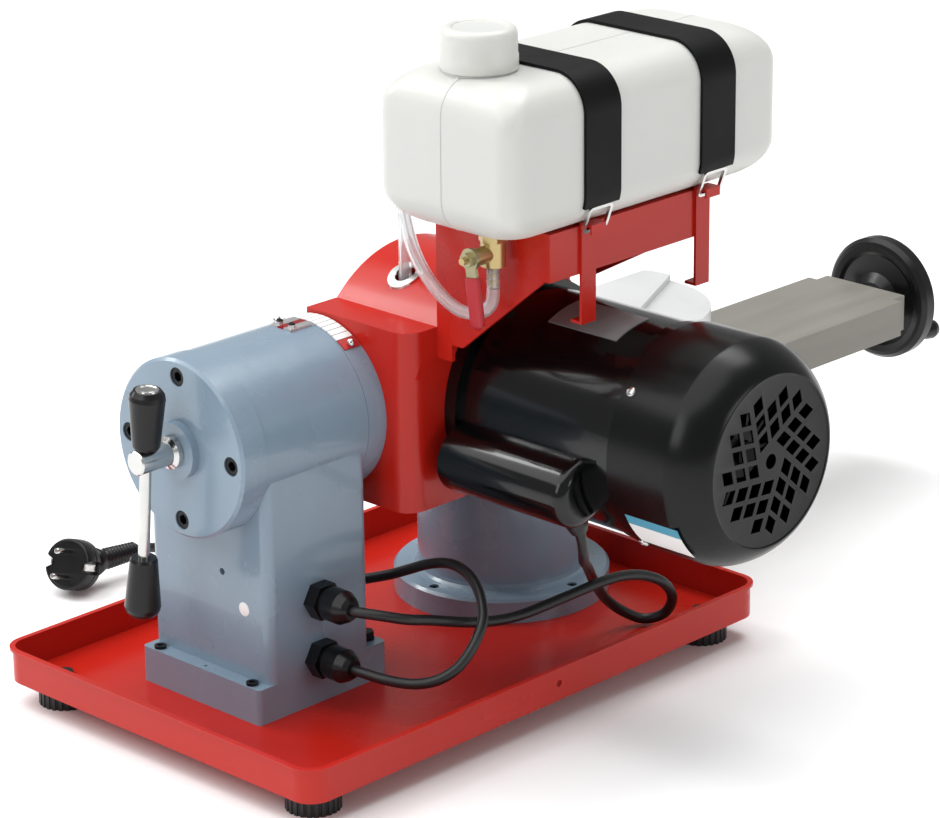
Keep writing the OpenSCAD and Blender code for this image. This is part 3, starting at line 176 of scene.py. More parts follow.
def make_mesh(name, points, quads, tris, material, smooth=32):
    """A mesh from a point array in millimetres and arrays of four and three corners, turned so that its
    signed volume, the sum of a . (b x c) / 6 over its triangles, is positive."""
    points = to_frame(points)
    quads = np.asarray(quads, int).reshape(-1, 4)
    tris = np.asarray(tris, int).reshape(-1, 3)
    every = np.vstack([quads[:, [0, 1, 2]], quads[:, [0, 2, 3]], tris])
    mid = points.mean(0)
    a, b, c = (points[every[:, k]] - mid for k in range(3))
    if np.einsum("ij,ij->i", a, np.cross(b, c)).sum() < 0:
        quads, tris = quads[:, ::-1], tris[:, ::-1]
    mesh = bpy.data.meshes.new(name)
    loops = np.concatenate([quads.ravel(), tris.ravel()])
    sizes = np.repeat([4, 3], [len(quads), len(tris)])
    mesh.vertices.add(len(points))
    mesh.vertices.foreach_set("co", points.ravel())
    mesh.loops.add(len(loops))
    mesh.loops.foreach_set("vertex_index", loops)
    mesh.polygons.add(len(sizes))
    mesh.polygons.foreach_set("loop_start", np.concatenate([[0], np.cumsum(sizes)[:-1]]))
    mesh.update(calc_edges=True)
    mesh.validate()
    mesh.shade_smooth()
    mesh.set_sharp_from_angle(angle=math.radians(smooth))
    mesh.materials.append(material)
    obj = bpy.data.objects.new(name, mesh)
    bpy.context.scene.collection.objects.link(obj)
    return obj


def ring_faces(n, m, closed, lids, start=0):
    """Corners of the quads between n rings of m points, and of the fans that close the first and last
    ring round a middle point each, which follow the rings in the point array."""
    i, j = np.indices((n if closed else n - 1, m)).reshape(2, -1)
    k = (j + 1) % m
    h = (i + 1) % n
    quads = np.stack([i * m + j, i * m + k, h * m + k, h * m + j], 1) + start
    tris = np.zeros((0, 3), int)
    if lids:
        j = np.arange(m)
        k = (j + 1) % m
        first = np.stack([k, j, np.full(m, n * m)], 1)
        last = np.stack([(n - 1) * m + j, (n - 1) * m + k, np.full(m, n * m + 1)], 1)
        tris = np.vstack([first, last]) + start
    return quads, tris


def rings_to_piece(name, shells, material, smooth=32):
    """One piece from several shells, each (rings, closed): rings is an array (n, m, 3) in millimetres. An
    open run of rings is closed by a lid at each end, a closed one joins its last ring to its first."""
    parts, start = [], 0
    for rings, closed in shells:
        rings = np.asarray(rings, float)
        n, m = rings.shape[:2]
        flat = rings.reshape(-1, 3)
        if not closed:
            flat = np.vstack([flat, rings[0].mean(0), rings[-1].mean(0)])
        q, t = ring_faces(n, m, closed, not closed, start)
        mid = flat.mean(0)
        a, b, c = (flat[q[:, k] - start] - mid for k in range(3))
        if np.einsum("ij,ij->i", a, np.cross(b, c)).sum() < 0:
            q, t = q[:, ::-1], t[:, ::-1]
        parts.append((flat, q, t))
        start += len(flat)
    return make_mesh(name, *map(np.vstack, zip(*parts)), material, smooth)


def axis_frame(along):
    """Two unit vectors square to along and to each other, and along itself."""
    along = np.asarray(along, float) / np.linalg.norm(along)
    side = np.array([0.0, 0.0, 1.0]) if abs(along[2]) < 0.9 else np.array([0.0, 1.0, 0.0])
    u = np.cross(side, along)
    u /= np.linalg.norm(u)
    return u, np.cross(along, u), along


def turned_rings(profile, origin, along, sides=64, wave=None):
    """Rings of a turned shape: origin + h * along + r * (cos a * u + sin a * v) for each (r, h) of the
    profile, with r * wave(a, h) where the rim is ribbed."""
    profile = np.asarray(profile, float)
    u, v, w = axis_frame(along)
    a = np.linspace(0, 2 * np.pi, sides, endpoint=False)
    r = np.repeat(profile[:, :1], sides, 1)
    if wave is not None:
        r = r * wave(a[None, :], profile[:, 1:])
    return (np.asarray(origin, float) + profile[:, None, 1:] * w
            + r[..., None] * (np.cos(a)[:, None] * u + np.sin(a)[:, None] * v))


def turned(name, profile, origin, along, material, sides=64, wave=None, hollow=False, smooth=32):
    """A turned piece. A hollow profile is a closed loop of (r, h)."""
    rings = turned_rings(profile, origin, along, sides, wave)
    return rings_to_piece(name, [(rings, hollow)], material, smooth)


def arc(cx, cy, r, a0, a1, n=8):
    """n points on a circle round (cx, cy) from angle a0 to a1 in degrees."""
    a = np.radians(np.linspace(a0, a1, n))
    return np.stack([cx + r * np.cos(a), cy + r * np.sin(a)], 1)


def smooth_route(route, per=6):
    """A Catmull-Rom curve through the route's points: on each stretch, half of
    2 p1 + (p2 - p0) t + (2 p0 - 5 p1 + 4 p2 - p3) t^2 + (3 p1 - p0 - 3 p2 + p3) t^3."""
    p = np.asarray(route, float)
    p = np.vstack([2 * p[0] - p[1], p, 2 * p[-1] - p[-2]])
    p0, p1, p2, p3 = p[:-3, None], p[1:-2, None], p[2:-1, None], p[3:, None]
    t = np.linspace(0, 1, per, endpoint=False)[None, :, None]
    run = 0.5 * (2 * p1 + (p2 - p0) * t + (2 * p0 - 5 * p1 + 4 * p2 - p3) * t ** 2
                 + (3 * p1 - p0 - 3 * p2 + p3) * t ** 3)
    return np.vstack([run.reshape(-1, 3), p[-2]])


def tube_rings(run, radius, sides=20):
    """Rings of a round cord: p + r * (cos a * u + sin a * v) at each point of the run, with u and v turned
    from those of the point before by the least turn that brings them square to the heading."""
    run = np.asarray(run, float)
    head = np.gradient(run, axis=0)
    head /= np.linalg.norm(head, axis=1)[:, None]
    side = [axis_frame(head[0])[0]]
    for h in head[1:]:
        u = side[-1] - h * (side[-1] @ h)
        side.append(u / np.linalg.norm(u))
    u = np.array(side)[:, None]
    v = np.cross(head, u[:, 0])[:, None]
    a = np.linspace(0, 2 * np.pi, sides, endpoint=False)[None, :, None]
    return run[:, None] + radius * (np.cos(a) * u + np.sin(a) * v)


def plate_rings(outline, height, edge, origin, axes):
    """Rings of a plate with rounded edges over a convex outline: each ring is the outline drawn in towards
    its middle by the edge radius times 1 - cos, at heights that follow sin."""
    outline = np.asarray(outline, float)
    mid = outline.mean(0)
    reach = np.linalg.norm(outline - mid, axis=1, keepdims=True)
    a = np.radians([0, 22, 45, 68, 90])
    draw = np.concatenate([edge * (1 - np.sin(a)), edge * (1 - np.cos(a))])
    rise = np.concatenate([edge * (1 - np.cos(a)), height - edge * (1 - np.sin(a))])
    flat = mid + (outline - mid) * (1 - draw[:, None, None] / reach)
    u, v, w = (np.asarray(k, float) for k in axes)
    return (np.asarray(origin, float) + flat[..., :1] * u + flat[..., 1:] * v
            + rise[:, None, None] * w)


def round_outline(w, h, r, n=8):
    """Outline of a w by h rectangle round the origin with corners of radius r."""
    x, y = w / 2 - r, h / 2 - r
    return np.vstack([arc(x, y, r, 0, 90, n), arc(-x, y, r, 90, 180, n),
                      arc(-x, -y, r, 180, 270, n), arc(x, -y, r, 270, 360, n)])


def settle(piece, body, stands_for=None):
    """The piece rides on a body and, where it stands for a solid, hides that solid."""
    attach(piece, body)
    if stands_for:
        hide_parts(stands_for)


def carve(piece, cutter, smooth):
    """Takes the cutter's volume out of the piece and removes the cutter."""
    cut = piece.modifiers.new("cut", "BOOLEAN")
    cut.operation, cut.solver, cut.object = "DIFFERENCE", "EXACT", cutter
    mesh = bpy.data.meshes.new_from_object(piece.evaluated_get(bpy.context.evaluated_depsgraph_get()))
    piece.modifiers.clear()
    piece.data = mesh
    mesh.shade_smooth()
    mesh.set_sharp_from_angle(angle=math.radians(smooth))
    bpy.data.objects.remove(cutter)


# ---------- finishes ----------

def group_of(name, inputs, outputs, build):
    """A shader node group with named sockets, made once. Each socket has its kind, Vector, Color or Float,
    or the default of a float."""
    tree = bpy.data.node_groups.get(name)
    if tree:
        return tree
    tree = bpy.data.node_groups.new(name, "ShaderNodeTree")
    for way, sockets in (("INPUT", inputs), ("OUTPUT", outputs)):
        for label, kind in sockets.items():
            default = kind if isinstance(kind, float) else None
            made = tree.interface.new_socket(name=label, in_out=way, socket_type="NodeSocket" + (
                kind if default is None else "Float"))
            if default is not None:
                made.default_value = default
    build(tree, tree.nodes.new("NodeGroupInput"), tree.nodes.new("NodeGroupOutput"))
    return tree


def node(tree, kind, inputs=None, **settings):
    """A node with its settings and its inputs, each a value or an output socket."""
    made = tree.nodes.new(kind)
    for key, value in settings.items():
        setattr(made, key, value)
    for key, value in (inputs or {}).items():
        if isinstance(value, bpy.types.NodeSocket):
            tree.links.new(value, made.inputs[key])
        else:
            made.inputs[key].default_value = value
    return made


def math_of(tree, operation, *values):
    """The output of a Math node of this operation on values or sockets."""
    return node(tree, "ShaderNodeMath", dict(enumerate(values)), operation=operation).outputs[0]


def noise_of(tree, given, scale, **more):
    """The height of a noise on the group's own Vector, at the scale that a named input gives."""
    return node(tree, "ShaderNodeTexNoise",
                {"Vector": given["Vector"], "Scale": given[scale], **more}).outputs[0]


def mottle_group():
    """Mottle: the colour a little lighter and darker in soft patches, and the roughness with it."""
    def build(tree, given, out):
        g = given.outputs
        noise = noise_of(tree, g, "Scale", Detail=4.0)
        change = node(tree, "ShaderNodeMapRange", {0: noise, 1: 0.3, 2: 0.7, 3: -1.0, 4: 1.0})
        value = math_of(tree, "MULTIPLY_ADD", change.outputs[0], g["Amount"], 1.0)
        shade = node(tree, "ShaderNodeHueSaturation", {"Value": value, "Color": g["Color"]})
        rough = node(tree, "ShaderNodeMath", {0: change.outputs[0], 1: g["Spread"], 2: g["Roughness"]},
                     operation="MULTIPLY_ADD", use_clamp=True)
        tree.links.new(shade.outputs[0], out.inputs["Color"])
        tree.links.new(rough.outputs[0], out.inputs["Roughness"])
    return group_of("Mottle", {"Vector": "Vector", "Color": "Color", "Scale": 8.0, "Amount": 0.05,
                               "Roughness": 0.4, "Spread": 0.05},
                    {"Color": "Color", "Roughness": "Float"}, build)


def grain_group():
    """Grain: a height from two noises, a broad ripple and a fine grit."""
    def build(tree, given, out):
        g = given.outputs
        broad = noise_of(tree, g, "Ripple", Detail=1.0)
        fine = noise_of(tree, g, "Grit", Detail=3.0)
        tree.links.new(math_of(tree, "MULTIPLY_ADD", fine, g["Share"], broad), out.inputs["Height"])
    return group_of("Grain", {"Vector": "Vector", "Ripple": 60.0, "Grit": 900.0, "Share": 0.2},
                    {"Height": "Float"}, build)


def scratch_group():
    """Scratches: a mask of fine long strokes, where a stretched noise is near its middle value."""
    def build(tree, given, out):
        g = given.outputs
        noise = noise_of(tree, g, "Scale", Detail=5.0, Distortion=0.4)
        near = math_of(tree, "ABSOLUTE", math_of(tree, "SUBTRACT", noise, 0.5))
        mask = node(tree, "ShaderNodeMapRange", {0: near, 1: 0.0, 2: g["Width"], 3: 1.0, 4: 0.0})
        tree.links.new(mask.outputs[0], out.inputs["Mask"])
    return group_of("Scratches", {"Vector": "Vector", "Scale": 40.0, "Width": 0.01},
                    {"Mask": "Float"}, build)


def finish_of(name, colour, rough, mottle, grain, metal=0.0, coat=0.0, stretch=(1, 1, 1),
              scratches=None, tune=None):
    """A material: Principled fed by Mottle, Grain and, where the finish is scuffed, Scratches. mottle is
    (scale, amount, spread of roughness), grain is (ripple, grit, share of grit, depth in metres), and
    scratches is (scale, width, strength, colour)."""
    mat = bpy.data.materials.new(name)
    mat.use_nodes = True
    tree = mat.node_tree
    shader = tree.nodes["Principled BSDF"]
    shader.inputs["Metallic"].default_value = metal
    shader.inputs["Coat Weight"].default_value = coat
    shader.inputs["Coat Roughness"].default_value = 0.06
    where = node(tree, "ShaderNodeTexCoord")
    scaled = node(tree, "ShaderNodeMapping", {"Vector": where.outputs["Object"], "Scale": stretch})
    spot = scaled.outputs[0]
    soft = node(tree, "ShaderNodeGroup", node_tree=mottle_group())
    tree.links.new(spot, soft.inputs["Vector"])
    for key, value in {"Color": (*colour, 1), "Scale": mottle[0], "Amount": mottle[1],
                       "Roughness": rough, "Spread": mottle[2]}.items():
        soft.inputs[key].default_value = value
    colour_out, rough_out = soft.outputs["Color"], soft.outputs["Roughness"]
    if scratches:
        scale, width, strength, scratch_colour = scratches
        scuff = node(tree, "ShaderNodeGroup", node_tree=scratch_group())
        tree.links.new(spot, scuff.inputs["Vector"])
        scuff.inputs["Scale"].default_value = scale
        scuff.inputs["Width"].default_value = width
        less = math_of(tree, "MULTIPLY", scuff.outputs[0], strength)
        blend = node(tree, "ShaderNodeMix", {0: less, 6: colour_out, 7: (*scratch_colour, 1)},
                     data_type="RGBA")
        colour_out = blend.outputs[2]
    fine = node(tree, "ShaderNodeGroup", node_tree=grain_group())
    tree.links.new(spot, fine.inputs["Vector"])
    for key, value in zip(("Ripple", "Grit", "Share"), grain):
        fine.inputs[key].default_value = value
    bump = node(tree, "ShaderNodeBump",
                {"Height": fine.outputs[0], "Distance": grain[3], "Strength": 1.0})
    tree.links.new(bump.outputs[0], shader.inputs["Normal"])
    tree.links.new(colour_out, shader.inputs["Base Color"])
    tree.links.new(rough_out, shader.inputs["Roughness"])
    for key, value in (tune or {}).items():
        shader.inputs[key].default_value = value
    return mat


def finishes():
    """All the finishes, by name, made on the first call."""
    if "red enamel" in bpy.data.materials:
        return bpy.data.materials
    c = bpy.context.scene.sharpener_colours
    scuff = (0.32, 0.32, 0.31)
    specular = "Specular IOR Level"
    soft = {"Subsurface Weight": 0.35, "Subsurface Radius": (0.02, 0.018, 0.014),
            "Subsurface Scale": 0.6, "IOR": 1.5}
    plated, button = (300, 1500, 0.4, 0.00002), (140, 1500, 0.2, 0.00004)
    paper = (120, 900, 0.2, 0.00003)
    for name, colour, rough, mottle, grain, more in (
            ("red enamel", c.red, 0.25, (9, 0.05, 0.05), (55, 700, 0.06, 0.0001),
             {"coat": 0.04, "tune": {specular: 0.3}}),
            ("casting paint", c.casting, 0.26, (14, 0.05, 0.05), (38, 420, 0.12, 0.0003), {"coat": 0.4}),
            ("motor enamel", c.motor, 0.16, (9, 0.12, 0.04), (45, 700, 0.08, 0.0001),
             {"coat": 0.25, "tune": {specular: 0.3}}),
            ("cover enamel", c.motor, 0.24, (9, 0.12, 0.04), (60, 900, 0.2, 0.00008),
             {"tune": {specular: 0.26}}),
            ("blackened steel", c.blackened, 0.38, (40, 0.12, 0.06), plated, {"metal": 0.6}),
            ("yellow zinc", c.gilt, 0.3, (45, 0.14, 0.08), plated, {"metal": 0.9}),
            ("tank plastic", c.tank, 0.34, (5, 0.03, 0.05), (30, 500, 0.12, 0.0003), {"tune": soft}),
            ("brass", c.brass, 0.26, (60, 0.16, 0.1), (200, 1500, 0.4, 0.00003),
             {"metal": 1, "stretch": (1, 1, 4)}),
            ("red sleeve", c.sleeve, 0.38, (20, 0.08, 0.05), (110, 900, 0.2, 0.0001), {}),
            ("plain steel", c.steel, 0.42, (9, 0.07, 0.06), (300, 900, 0.6, 0.00003),
             {"metal": 0.08, "stretch": (1, 7, 7), "scratches": (30, 0.008, 0.12, scuff),
              "tune": {specular: 0.3}}),
            ("bright steel", c.zinc, 0.2, (40, 0.08, 0.06), (300, 1500, 0.4, 0.00001), {"metal": 1}),
            ("ground steel", c.zinc, 0.32, (30, 0.1, 0.08), (500, 1500, 0.5, 0.00002),
             {"metal": 0.9, "stretch": (1, 9, 1)}),
            ("silver table", c.table, 0.42, (10, 0.05, 0.06), (160, 900, 0.4, 0.00003),
             {"metal": 0.25, "scratches": (22, 0.006, 0.15, scuff)}),
            ("cable rubber", c.rubber, 0.42, (30, 0.12, 0.06), (220, 1500, 0.3, 0.00005), {}),
            ("strap rubber", c.strap, 0.5, (25, 0.16, 0.07), (90, 1300, 0.5, 0.00012),
             {"tune": {specular: 0.16}}),
            ("black plastic", c.plastic, 0.3, (20, 0.1, 0.05), (140, 1500, 0.25, 0.00005),
             {"tune": {specular: 0.35}}),
            ("abrasive", c.abrasive, 0.9, (260, 0.3, 0.05), (500, 1800, 0.8, 0.0004), {}),
            ("winding", c.copper, 0.4, (60, 0.2, 0.1), (300, 1500, 0.5, 0.0001), {"metal": 0.6}),
            ("start button", c.start, 0.3, (20, 0.05, 0.03), button, {}),
            ("stop button", c.stop, 0.3, (20, 0.05, 0.03), button, {}),
            ("label white", (0.86, 0.86, 0.85), 0.45, (25, 0.03, 0.03), paper, {}),
            ("label blue", c.label, 0.45, (25, 0.05, 0.03), paper, {}),
            ("label grey", (0.34, 0.345, 0.35), 0.35, (25, 0.06, 0.05), (150, 900, 0.3, 0.00003),
             {"metal": 0.4, "stretch": (6, 1, 1)}),
            ("clear hose", (0.93, 0.94, 0.95), 0.08, (30, 0.02, 0.02), (60, 500, 0.1, 0.00006),
             {"tune": {"Transmission Weight": 0.82, "IOR": 1.42}})):
        finish_of(name, colour, rough, mottle, grain, **more)
    pointer_finish()
    scale_finish()
    return bpy.data.materials


def from_axis(tree):
    """Two outputs: how far a point lies across from the tilt axis, and how far above it."""
    _, y, z = (float(v) for v in to_frame([0, AXIS_Y, AXIS_Z]))
    where = node(tree, "ShaderNodeTexCoord")
    parts = node(tree, "ShaderNodeSeparateXYZ", {0: where.outputs["Object"]})
    return math_of(tree, "SUBTRACT", parts.outputs[1], y), math_of(tree, "SUBTRACT", parts.outputs[2], z)


def paint_where(tree, mask, colour):
    """Lays a colour over the base colour where the mask is 1."""
    base = tree.nodes["Principled BSDF"].inputs["Base Color"]
    over = node(tree, "ShaderNodeMix", {0: mask, 6: base.links[0].from_socket, 7: (*colour, 1)},
                data_type="RGBA")
    tree.links.new(over.outputs[2], base)


def pointer_finish():
    """Pointer: bare bright plate with a red line along its middle, where |y - axis| is under 3 mm."""
    tree = finish_of("pointer plate", (0.62, 0.62, 0.62), 0.25, (40, 0.08, 0.06),
                     (300, 1500, 0.4, 0.00002), metal=0.7).node_tree
    across, _ = from_axis(tree)
    paint_where(tree, math_of(tree, "LESS_THAN", math_of(tree, "ABSOLUTE", across), 0.003),
                (0.5, 0.01, 0.015))


def scale_finish():
    """Angle scale: white in its middle, red past 30 degrees, by the angle atan2(y, z) round the tilt axis,
    with a fine dark line at every fifth degree of the white part."""
    tree = finish_of("angle scale", (0.85, 0.85, 0.84), 0.35, (20, 0.03, 0.03),
                     (120, 900, 0.2, 0.00003)).node_tree
    angle = math_of(tree, "ARCTAN2", *from_axis(tree))
    step = math_of(tree, "FRACT", math_of(tree, "DIVIDE", angle, math.radians(5)))
    paint_where(tree, math_of(tree, "LESS_THAN", step, 0.09), (0.03, 0.03, 0.03))
    paint_where(tree, math_of(tree, "GREATER_THAN", math_of(tree, "ABSOLUTE", angle), SCALE_RED),
                (0.45, 0.012, 0.01))


NODE_FINISH = {
    "red enamel": "tray head_housing tank_bracket strap_hooks",
    "casting paint": "stand end_cap tilt_spindle pedestal",
    "motor enamel": "motor_front_bell motor_shell motor_rear_bell fan_cover capacitor_cover",
    "tank plastic": "coolant_tank tank_cap",
    "brass": "valve_body",
    "pointer plate": "pointer_plate",
    "bright steel": "lever_bar clamp_hub strap_rings lead_screw fan_cover_screws motor_bolts "
                    "bracket_bolts motor_bearings wheel_nut hood_grommet",
    "blackened steel": "stand_bolts cap_screws pedestal_bolts rotor",
    "yellow zinc": "valve_lever",
    "ground steel": "wheel_flange table_pin",
    "plain steel": "swivel_plate arm_channel arm_end_plate carriage",
    "silver table": "blade_table",
    "cable rubber": "feet cable_outlet motor_cable mains_lead mains_plug",
    "strap rubber": "straps",
    "black plastic": "upper_gland lower_gland switch_box lever_grips capacitor cooling_fan handwheel "
                     "crank_handle",
    "abrasive": "grinding_wheel",
    "winding": "stator",
    "start button": "start_button",
    "stop button": "stop_button",
    "label grey": "motor_nameplate",
    "angle scale": "angle_scale",
    "clear hose": "coolant_hose",
}


class SHARPENER_OT_finishes(bpy.types.Operator):
    """Gives every solid of the frame its finish"""
    bl_idname = "sharpener.finishes"
    bl_label = "Finishes"

    def execute(self, context):
        made = finishes()
        left = set(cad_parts)
        for name, nodes in NODE_FINISH.items():
            for key in nodes.split():
                left.discard(key)
                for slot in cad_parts[key].material_slots:
                    slot.material = made[name]
        if left:
            raise RuntimeError("solids with no finish: " + ", ".join(sorted(left)))
        return {"FINISHED"}


# ---------- cords ----------

def cord_piece(name, route, diameter, material):
    """A round cord along a smoothed route, and the run that it follows, in metres."""
    run = smooth_route(route)
    piece = rings_to_piece(name, [(tube_rings(run, diameter * 500), False)], material, 60)
    return piece, to_frame(run)


class SHARPENER_OT_motor_cable(bpy.types.Operator):
    """Motor cable, from the capacitor cover down over the tray and back to the upper gland"""
    bl_idname = "sharpener.motor_cable"
    bl_label = "Motor Cable"

    def execute(self, context):
        d = context.scene.sharpener_sizes.cable
        piece, run = cord_piece("motor_cable_run", MOTOR_CABLE_ROUTE, d, finishes()["cable rubber"])
        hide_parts("motor_cable")
        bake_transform(piece)
        return {"FINISHED"}


def carried_rings(stations, sides, wave):
    """Rings of a bent turned shape. Each station is (centre, heading, radius, depth), and its ring is
    centre + radius * wave(a, depth) * (cos a * u + sin a * v), u level, v square to it and the heading."""
    a = np.linspace(0, 2 * np.pi, sides, endpoint=False)[:, None]
    rings = []
    for centre, heading, radius, depth in stations:
        u, v, _ = axis_frame(heading)
        rings.append(centre + radius * wave(a, depth) * (np.cos(a) * u + np.sin(a) * v))
    return np.array(rings)


def plug_shells():
    """The plug: ribbed neck, grip that bends up to the round body, earth notches on both sides of the body
    with their clips, and the two pins one above the other."""
    neck = np.array([-math.cos(PLUG_TURN), -math.sin(PLUG_TURN), 0.0])
    face = PLUG_FACE / np.linalg.norm(PLUG_FACE)
    middle = PLUG_SEAT + neck * 56.5 + [0, 0, 2.6]
    stations = [(PLUG_SEAT, neck, 0.01, 0.0), (PLUG_SEAT, neck, 5.6, 0.0)]
    for k, h in enumerate(np.arange(1.0, 30.0, 1.4)):
        stations.append((PLUG_SEAT + neck * h, neck, 6.3 + 0.05 * h + (0.7 if k % 2 else 0.0), 0.0))
    start, end = PLUG_SEAT + neck * 31, middle - face * 9.4
    for t in np.linspace(0, 1, 12):
        heading = neck * (1 - t) + face * t
        swell = 8.2 + 9.4 * t ** 1.7 + 1.5 * math.sin(math.pi * min(t * 1.6, 1))
        stations.append((start + (end - start) * t, heading, swell, 0.0))
    body = [(18.6, -9.0, 0.2), (19.4, -8.0, 1), (PLUG_R, -7.0, 1), (PLUG_R, -2.6, 1), (19.0, -2.2, 1),
            (19.0, -1.4, 1), (PLUG_R, -1.0, 1), (PLUG_R, 8.0, 1), (19.1, 9.0, 1), (18.6, 9.4, 1),
            (17.2, 9.4, 1), (16.8, 8.9, 1), (0.01, 8.9, 0)]
    stations += [(middle + face * h, face, r, depth) for r, h, depth in body]

    def notch(a, depth):
        """Cuts 28% of the radius from both sides, within 4.6 mm of the level line through the middle."""
        off = np.abs(np.sin(a)) * PLUG_R
        return 1 - 0.28 * depth * np.clip((4.6 - off) / 1.0, 0, 1)
    shells = [(carried_rings(stations, 120, notch), False)]
    u, v, _ = axis_frame(face)
    pin = [[0.01, 0], [2.4, 0], [2.4, 16.4], [2.2, 18.2], [1.4, 19.0], [0.01, 19.1]]
    for s in (-PIN_OFF, PIN_OFF):
        shells.append((turned_rings(pin, middle + face * 8.8 + v * s, face, 24), False))
    clip = round_outline(5.6, 16.0, 0.6, 3)
    for s in (-1, 1):
        shells.append((plate_rings(clip, 2.2, 0.4, middle + u * s * 13.4, (v, face, u * s)), False))
    return shells


class SHARPENER_OT_mains_lead(bpy.types.Operator):
    """Mains lead with its plug, from the lower gland round behind the stand and over the tray's rim"""
    bl_idname = "sharpener.mains_lead"
    bl_label = "Mains Lead"

    def execute(self, context):
        d = context.scene.sharpener_sizes.cable
        made = finishes()
        piece, run = cord_piece("mains_lead_run", MAINS_LEAD_ROUTE, d, made["cable rubber"])
        shells = plug_shells()
        plug = rings_to_piece("plug_body", shells[:1], made["black plastic"], 40)
        pins = rings_to_piece("plug_pins", shells[1:], made["bright steel"], 40)
        settle(piece, "base", "mains_lead")
        settle(plug, "base", "mains_plug")
        settle(pins, "base")
        return {"FINISHED"}


class SHARPENER_OT_coolant_hose(bpy.types.Operator):
    """Clear coolant hose, from the barb round under the tank into the wheel hood"""
    bl_idname = "sharpener.coolant_hose"
    bl_label = "Coolant Hose"

    def execute(self, context):
        s = context.scene.sharpener_sizes
        run = smooth_route(HOSE_ROUTE)
        outer = tube_rings(run, s.hose * 500, 24)
        inner = tube_rings(run, (s.hose / 2 - s.hose_wall) * 1000, 24)[::-1]
        piece = rings_to_piece("coolant_hose_run", [(np.vstack([outer, inner]), True)],
                               finishes()["clear hose"], 60)
        settle(piece, "head", "coolant_hose")
        sleeve = turned("hose_on_barb",
                        [[3.2, 0], [4.5, 0], [4.5, 13], [4.3, 13.6], [3.4, 13.6], [3.2, 13]],
                        [VALVE[0], VALVE[1], BARB_Z - 0.2], (0, 0, 1), finishes()["clear hose"], 24,
                        hollow=True)
        settle(sleeve, "head")
        return {"FINISHED"}


# ---------- tank ----------

def tank_rings(inset):
    """Rings of the blow-moulded tank: round-cornered plans one above the other, each drawn in by
    k * (1 - sin t) at a height of k * (1 - cos t) from the bottom or the top, its corners from 14 mm round
    at the walls to 24 mm round at the flats. The inset makes the same form inside the wall."""
    k, (l, w, h) = TANK_CORNER, TANK_SIZE
    t = np.linspace(0, np.pi / 2, 12)
    draw = np.concatenate([k * (1 - np.sin(t)), k * (1 - np.sin(t))[::-1]])
    rise = np.concatenate([k * (1 - np.cos(t)), h - k * (1 - np.cos(t))[::-1]])
    middle = TANK_MIN + TANK_SIZE / 2
    rings = []
    for d, z in zip(draw, rise):
        plan = round_outline(l - 2 * d - 2 * inset, w - 2 * d - 2 * inset, 14 + 10 * d / k - inset, 12)
        height = TANK_MIN[2] + inset + z * (h - 2 * inset) / h
        rings.append(np.column_stack([plan + middle[:2], np.full(len(plan), height)]))
    return np.array(rings)


class SHARPENER_OT_tank(bpy.types.Operator):
    """Blow-moulded coolant tank with its hollow and its open neck"""
    bl_idname = "sharpener.tank"
    bl_label = "Tank"

    def execute(self, context):
        plastic = finishes()["tank plastic"]
        wall = context.scene.sharpener_sizes.tank_wall * 1000
        tank = rings_to_piece("coolant_tank_shell", [(tank_rings(0), False)], plastic, 50)
        carve(tank, rings_to_piece("tank_hollow", [(tank_rings(wall), False)], plastic), 50)
        up, top = (0, 0, 1), TANK_MIN[2] + TANK_SIZE[2]
        carve(tank, turned("tank_mouth", [[0.01, -6], [NECK_R, -6], [NECK_R, 6], [0.01, 6]],
                           [NECK[0], NECK[1], top], up, plastic, 96), 50)
        neck = turned("tank_neck", [[NECK_R, -1], [24.9, -1], [24.9, 0.6], [24.5, 1.0], [22.4, 1.1],
                                    [22.0, 1.5], [22.0, 25.2], [21.5, 25.7], [20.0, 25.7], [NECK_R, 25.2]],
                      [NECK[0], NECK[1], top], up, plastic, 96, hollow=True, smooth=40)
        settle(tank, "head", "coolant_tank")
        settle(neck, "head")
        return {"FINISHED"}


